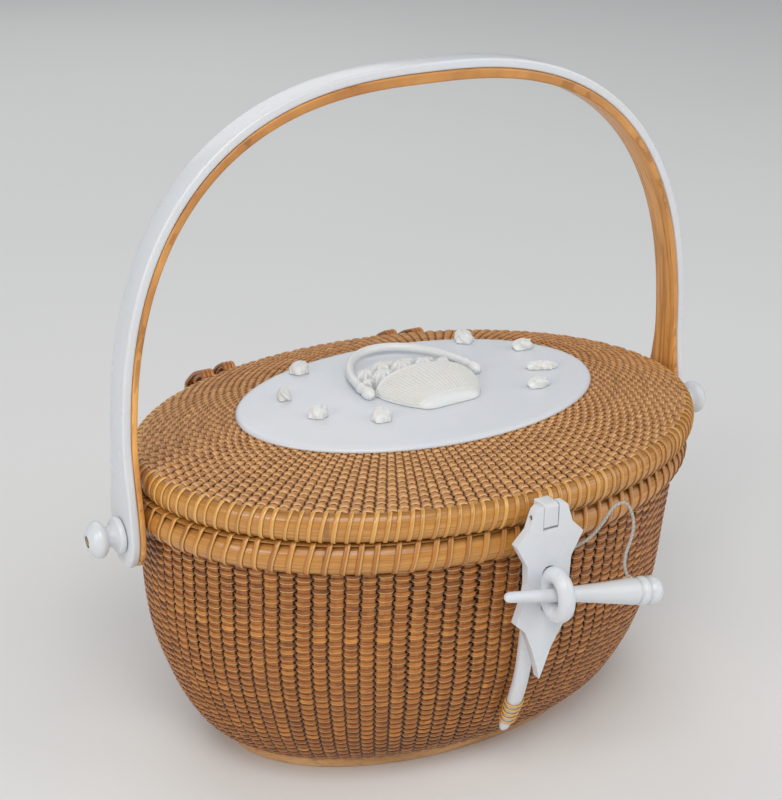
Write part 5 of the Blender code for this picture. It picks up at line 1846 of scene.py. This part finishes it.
@dataclass
class HingeWork:
    """Bundles of cane looped round the hinge pins."""

    loom: StrandLoom
    finishes: Finishes
    nodes: dict[str, bpy.types.Object]
    turns: int = 3
    strand: float = 1.75 * MM
    bulge: float = 1.1 * MM

    def build(self) -> None:
        """Makes the bundles and dresses the pins."""
        for side in ("left", "right"):
            self.make_bundle(f"body_hinge_loop_{side}", Body.BASKET)
            for place in ("inner", "outer"):
                self.make_bundle(f"lid_hinge_loop_{side}_{place}", Body.LID)
            name = f"hinge_pin_{side}"
            pin = refined(name + "_brass", self.nodes[name], self.finishes["brass_old"])
            pin.data.transform(Matrix.Translation((self.shift(name), 0.0, 0.0)))
            dress(pin, Body.BASKET, Slot.BRASS, name)

    def make_bundle(self, name: str, body: Body) -> None:
        """Makes one bundle of a few turns side by side, inside its solid's outline."""
        low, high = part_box(name)
        middle = (low.x + high.x) / 2 + self.shift(name)
        strands = []
        for turn in range(self.turns):
            x = middle + (turn - (self.turns - 1) / 2) * self.strand * 0.98
            ring = self.outline(name, x)
            far_centre = (ring[17] + ring[29]) / 2
            for size in (1.0, 0.45):
                points = far_centre + (ring - far_centre) * size
                heart = np.tile(points.mean(axis=0), (len(points), 1))
                strands.append(
                    Strand(points, section_normals(points, heart), 0.4 + 0.15 * turn, 0.0, 1.0, True)
                )
        piece = self.loom.weave(
            name + "_cane", strands, self.strand, 1.6 * MM, self.finishes["cane_brown"], 10, 0.8
        )
        dress(piece, body, Slot.LACING, name)

    def shift(self, name: str) -> float:
        """How far a hinge stands to the left of its place in the solids."""
        return -3.5 * MM if "left" in name else -6.5 * MM

    def outline(self, name: str, x: float) -> np.ndarray:
        """The loop's middle line in its upright plane: near ring round the pin, far ring at its end."""
        low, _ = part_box(name)
        tube = 1.1 * MM
        on_body = name.startswith("body")
        near = np.array((91.0 * MM, 113.7 * MM))
        near_radius, far_radius = 2.9 * MM, (1.6 if on_body else 2.3) * MM
        far_z = (106.2 if on_body else 123.8) * MM
        far_y = low.y + (tube + far_radius if on_body else -1.6 * MM)
        far = np.array((far_y, far_z))
        along = (near - far) / np.linalg.norm(near - far)
        across = np.array((-along[1], along[0]))
        ring = []
        ends = ((near, near_radius, 1.0), (far, far_radius, -1.0))
        for (centre, radius, out), (other, wide, _) in (ends, ends[::-1]):
            for turn in np.linspace(-np.pi / 2, np.pi / 2, 13):
                step = along * math.cos(turn) + across * math.sin(turn)
                y, z = centre + step * radius * out
                ring.append((x, y, z))
            for share in (0.2, 0.4, 0.6, 0.8):
                reach = radius + (wide - radius) * share + self.bulge * math.sin(np.pi * share)
                y, z = centre + (other - centre) * share + across * out * reach
                ring.append((x, y, z))
        return np.array(ring)


@dataclass
class ClaspWork:
    """The hasp with its block, pin and ring, the catch rod and the peg."""

    loom: StrandLoom
    finishes: Finishes
    nodes: dict[str, bpy.types.Object]
    x: float = -5.1 * MM
    ring_middle: tuple[float, float, float] = (-5.1 * MM, -104.0 * MM, 95.3 * MM)
    rod_head: tuple[float, float, float] = (-5.1 * MM, -91.9 * MM, 97.6 * MM)
    droop: float = math.radians(12.8)

    def build(self) -> None:
        """Makes every piece of the clasp."""
        ivory = self.finishes["ivory_polished"]
        plate = refined("hasp_plate_ivory", self.nodes["hasp_plate"], ivory, 1.1 * MM)
        dress(plate, Body.HASP, Slot.IVORY, "hasp_plate")
        block = refined("hasp_block_ivory", self.nodes["hasp_block"], ivory, 0.9 * MM)
        dress(block, Body.LID, Slot.IVORY, "hasp_block")
        keep_solid(self.nodes["hasp_pin"], self.finishes["brass_old"])
        self.make_eyes()
        self.make_ring()
        self.make_rod()
        self.make_binding()
        self.make_peg()

    def make_eyes(self) -> None:
        """The dark seam round each end of the hasp's pin."""
        low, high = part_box("hasp_pin")
        turn = np.linspace(0, 2 * np.pi, 32, endpoint=False)
        strands = []
        for x, side in ((low.x, -1.0), (high.x, 1.0)):
            y = (low.y + high.y) / 2 + 1.2 * MM * np.cos(turn)
            z = (low.z + high.z) / 2 + 1.2 * MM * np.sin(turn)
            points = np.stack([0 * turn + x + side * 0.05 * MM, y, z], axis=-1)
            outward = np.tile((side, 0.0, 0.0), (len(turn), 1))
            strands.append(Strand(points, outward, closed=True))
        piece = self.loom.weave(
            "hasp_pin_seam", strands, 0.7 * MM, 0.4 * MM, self.finishes["brass_dark"], 8, 1.0
        )
        dress(piece, Body.HASP, Slot.BRASS)

    def make_ring(self) -> None:
        """The ring that the peg goes through."""
        turn = np.linspace(0, 2 * np.pi, 72, endpoint=False)
        zero = np.zeros_like(turn)
        ring = np.stack([zero, 6.15 * MM * np.cos(turn), 7.35 * MM * np.sin(turn)], axis=-1)
        points = np.array(self.ring_middle) + ring
        outward = unit(np.stack([zero, np.cos(turn) / 6.15, np.sin(turn) / 7.35], axis=-1))
        piece = self.loom.weave(
            "catch_ring_ivory", [Strand(points, outward, closed=True)],
            6.1 * MM, 6.1 * MM, self.finishes["ivory_polished"], 24, 1.0,
        )
        dress(piece, Body.HASP, Slot.IVORY, "catch_ring")

    def rod_line(self, height: np.ndarray) -> tuple[np.ndarray, np.ndarray, np.ndarray]:
        """The catch rod's middle, the wall's outward normal and the rod's radius at heights."""
        wall, step = Wall(), 0.5 * MM
        steep = wall.half(height - step)[1] - wall.half(height + step)[1]
        normal = unit(np.stack([0 * height, 0 * height - 2 * step, steep], axis=-1))
        taper = np.clip((height - 23.0 * MM) / (22.0 * MM), 0, 1)
        radius = 1.3 * MM + 1.6 * MM * taper**0.6
        middle = np.stack([0 * height + self.x, -wall.half(height)[1], height], axis=-1)
        return middle + normal * 4.8 * MM, normal, radius

    def make_rod(self) -> None:
        """The rod up the front of the body, bent out to the ring."""
        head = np.array(self.rod_head)
        height = np.linspace(25.5 * MM, head[2] - 16.0 * MM, 40)
        middle, normal, radius = self.rod_line(height)
        last = middle[-1]
        share = np.linspace(0.05, 1.0, 22)
        ease = share * share * (3 - 2 * share)
        bend = last + (head - last) * share[:, None]
        bend[:, 1] = last[1] + (head[1] - last[1]) * ease
        cap = np.sqrt(np.clip(1 - np.clip((share - 0.86) / 0.14, 0, 1) ** 2, 0.0, 1))
        bend_radius = (2.9 - 0.3 * share) * MM * np.maximum(cap, 0.25)
        out = np.concatenate([normal, np.tile((0.0, -1.0, 0.0), (len(share), 1))])
        points = np.concatenate([middle, bend])
        radii = np.concatenate([radius, bend_radius]) / (2.9 * MM)
        radii[0] *= 0.6
        piece = self.loom.weave(
            "catch_rod_ivory", [Strand(points, out, 0.5, 0.0, radii)],
            5.8 * MM, 5.8 * MM, self.finishes["ivory_polished"], 24, 1.0,
        )
        dress(piece, Body.BASKET, Slot.IVORY, "catch_rod")

    def make_binding(self) -> None:
        """Cane wound round the rod's foot."""
        turns, per_turn = 5, 40
        count = turns * per_turn
        turn = 2 * np.pi * np.arange(count + 1) / per_turn
        height = 41.8 * MM - 2.35 * MM * np.arange(count + 1) / per_turn
        middle, normal, radius = self.rod_line(height)
        across = np.array((1.0, 0.0, 0.0))
        out = across * np.cos(turn)[:, None] + normal * np.sin(turn)[:, None]
        points = middle + out * (radius + 0.45 * MM)[:, None]
        piece = self.loom.weave(
            "catch_binding_cane", [Strand(points, out, 0.8)],
            1.05 * MM, 0.7 * MM, self.finishes["cane_lashing"], 8, 0.7,
        )
        dress(piece, Body.BASKET, Slot.LACING, "catch_binding")

    def swell(self, share: float) -> float:
        """How much stouter the peg is towards its head."""
        rise = min(1.0, max(0.0, (share - 0.4) / 0.4))
        return 1 + 0.15 * rise * rise * (3 - 2 * rise)

    def make_peg(self) -> None:
        """The turned, tapered peg."""
        axis = Vector((math.cos(self.droop), 0.0, -math.sin(self.droop)))
        length, thick = 69.0 * MM, 4.75 * MM
        start = Vector(self.ring_middle) - axis * length * 0.325
        shares = (
            (0.0, 0.02), (0.001, 0.14), (0.006, 0.26), (0.012, 0.33), (0.022, 0.385), (0.045, 0.415),
            (0.12, 0.44), (0.2, 0.465), (0.28, 0.5), (0.37, 0.56), (0.46, 0.62), (0.55, 0.685),
            (0.63, 0.74), (0.72, 0.81), (0.79, 0.865), (0.82, 0.9), (0.832, 0.905), (0.8375, 0.86),
            (0.842, 0.76), (0.849, 0.735), (0.855, 0.76), (0.861, 0.88), (0.868, 0.955), (0.878, 0.995),
            (0.886, 1.0), (0.894, 0.95), (0.902, 0.83), (0.908, 0.77), (0.913, 0.77), (0.92, 0.86),
            (0.93, 0.955), (0.945, 1.0), (0.955, 0.995), (0.968, 0.94), (0.98, 0.86), (0.989, 0.7),
            (0.996, 0.5), (0.9995, 0.26), (1.0, 0.02),
        )
        piece = lathe(
            "peg_ivory", [(length * a, thick * r * self.swell(a)) for a, r in shares], start, axis,
            self.finishes["ivory_polished"], 48, sharp=60.0,
        )
        dress(piece, Body.PEG, Slot.IVORY, "peg")


@dataclass
class CordWork:
    """The thin cord from the back of the hasp over to the peg."""

    loom: StrandLoom
    finishes: Finishes
    radius: float = 0.6 * MM
    route: tuple[tuple[float, float, float], ...] = (
        (1.0, -94.3, 101.6), (4.5, -93.4, 103.2), (9.2, -93.2, 105.3), (14.2, -94.0, 107.4),
        (17.8, -94.6, 110.2), (21.2, -95.2, 114.7), (23.6, -95.7, 118.3), (26.1, -96.2, 119.9),
        (28.1, -96.8, 120.1), (30.0, -97.4, 118.0), (31.3, -98.2, 113.8), (31.0, -99.0, 109.4),
        (29.2, -99.8, 105.1), (27.3, -100.4, 101.5), (26.7, -100.9, 97.0), (27.9, -101.4, 92.2),
    )

    def build(self) -> None:
        """Makes the cord and its knot."""
        line = self.smooth_line()
        tangent = unit(np.gradient(line, axis=0))
        side = unit(np.cross(tangent, np.tile((0.0, 1.0, 0.0), (len(line), 1))))
        piece = self.loom.weave(
            "peg_cord_thread", [Strand(line, side)], 2 * self.radius, 2 * self.radius,
            self.finishes["thread_cord"], 14, 1.0,
        )
        knot = self.make_knot(line[-1])
        dress(piece, Body.PEG, Slot.CORD, "peg_cord")
        dress(knot, Body.PEG, Slot.CORD)

    def smooth_line(self) -> np.ndarray:
        """Close points along a smooth curve through the route."""
        route = np.array(self.route) * MM
        padded = np.concatenate([[2 * route[0] - route[1]], route, [2 * route[-1] - route[-2]]])
        t = np.linspace(0, 1, 8, endpoint=False)[:, None]
        dense = []
        for a, b, c, d in zip(padded, padded[1:], padded[2:], padded[3:]):
            bend = 2 * b + (c - a) * t + (2 * a - 5 * b + 4 * c - d) * t * t
            dense.append(0.5 * (bend + (3 * b - 3 * c + d - a) * t**3))
        return np.concatenate([*dense, route[-1:]])

    def make_knot(self, end: np.ndarray) -> bpy.types.Object:
        """A small overhand knot at the cord's end, on the peg.

        Args:
            end: The cord's last point.

        Returns:
            The knot.
        """
        turn = np.linspace(0, 2 * np.pi, 90, endpoint=False)
        ring = np.stack(
            [
                (np.sin(turn) + 2 * np.sin(2 * turn)),
                (np.cos(turn) - 2 * np.cos(2 * turn)) * 0.7,
                -np.sin(3 * turn) * 1.0,
            ],
            axis=-1,
        )
        points = end + ring * 0.55 * MM + np.array((0.2, -0.1, -0.5)) * MM
        heart = np.tile(points.mean(axis=0), (len(points), 1))
        return self.loom.weave(
            "peg_cord_knot", [Strand(points, section_normals(points, heart), closed=True)],
            1.2 * MM, 1.2 * MM, self.finishes["thread_knot"], 10, 1.0,
        )


@dataclass
class Studio:
    """A pale floor, soft light and the photograph's camera."""

    place: tuple[float, float, float] = (-329.74, -544.05, 397.49)
    right: tuple[float, float, float] = (0.864819, -0.502045, 0.006315)
    up: tuple[float, float, float] = (0.189603, 0.338203, 0.921775)
    back: tuple[float, float, float] = (-0.464908, -0.795971, 0.387674)
    lens: float = 79.592
    floor_half: float = 6.0
    floor_low: float = -0.2 * MM

    def make_camera(self) -> None:
        """Makes the camera."""
        data = bpy.data.cameras.new("camera")
        data.sensor_width = 36.0
        data.lens = self.lens
        data.clip_start = 0.01
        data.clip_end = 20.0
        camera = bpy.data.objects.new("camera", data)
        matrix = Matrix.Identity(4)
        for column, axis in enumerate((self.right, self.up, self.back)):
            for row in range(3):
                matrix[row][column] = axis[row]
        for row in range(3):
            matrix[row][3] = self.place[row] * MM
        camera.matrix_world = matrix
        bpy.context.scene.collection.objects.link(camera)
        bpy.context.scene.camera = camera

    def add_light(
        self, name: str, place: Colour, aim: Colour, size: float, watts: float, colour: Colour
    ) -> None:
        """Adds a soft square lamp that looks at a point."""
        data = bpy.data.lights.new(name, "AREA")
        data.shape = "SQUARE"
        data.size = size
        data.energy = watts
        data.color = colour
        lamp = bpy.data.objects.new(name, data)
        lamp.location = place
        lamp.rotation_mode = "QUATERNION"
        lamp.rotation_quaternion = (Vector(aim) - Vector(place)).to_track_quat("-Z", "Y")
        bpy.context.scene.collection.objects.link(lamp)

    def build(self, finishes: Finishes) -> None:
        """Makes the lamps, the world and the floor."""
        scene = bpy.context.scene
        scene.view_settings.view_transform = "Standard"
        aim = (0.0, 0.0, 0.1)
        self.add_light("key", (-0.5, -0.9, 1.3), aim, 0.9, 11.5, (1.0, 0.985, 0.96))
        self.add_light("side", (-1.35, -0.42, 0.72), (0.0, 0.0, 0.12), 0.6, 5.4, (0.98, 0.99, 1.0))
        self.add_light("fill", (1.2, -0.9, 0.8), aim, 1.2, 7.0, (0.96, 0.98, 1.0))
        self.add_light("back", (0.2, 1.3, 1.1), aim, 1.2, 4.5, (1.0, 1.0, 1.0))
        world = bpy.data.worlds.new("studio")
        world.use_nodes = True
        background = world.node_tree.nodes["Background"]
        background.inputs["Color"].default_value = (0.93, 0.95, 0.98, 1.0)
        background.inputs["Strength"].default_value = 0.34
        scene.world = world
        bm = bmesh.new()
        half, low = self.floor_half, self.floor_low
        corners = ((-half, -half), (half, -half), (half, half), (-half, half))
        bm.faces.new([bm.verts.new((x, y, low)) for x, y in corners])
        piece_of("floor", bm, finishes["floor_paper"])


def main() -> None:
    """Builds the whole scene in order."""
    logging.basicConfig(level=logging.INFO, format="%(name)s: %(message)s")
    for old in list(bpy.data.objects):
        bpy.data.objects.remove(old)
    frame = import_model()
    nodes = frame["nodes"]
    studio = Studio()
    studio.make_camera()
    finishes = Finishes()
    finishes.build()
    loom = StrandLoom()
    CordWork(loom, finishes).build()
    BodyWork(loom, finishes).build()
    LidWork(loom, finishes).build()
    Carving(loom, finishes).build()
    HandleWork(finishes, nodes).build()
    HingeWork(loom, finishes, nodes).build()
    ClaspWork(loom, finishes, nodes).build()
    keep_solid(nodes["lid_wood_plate"], finishes["oak_base"])
    studio.build(finishes)


if __name__ == "__main__":
    main()
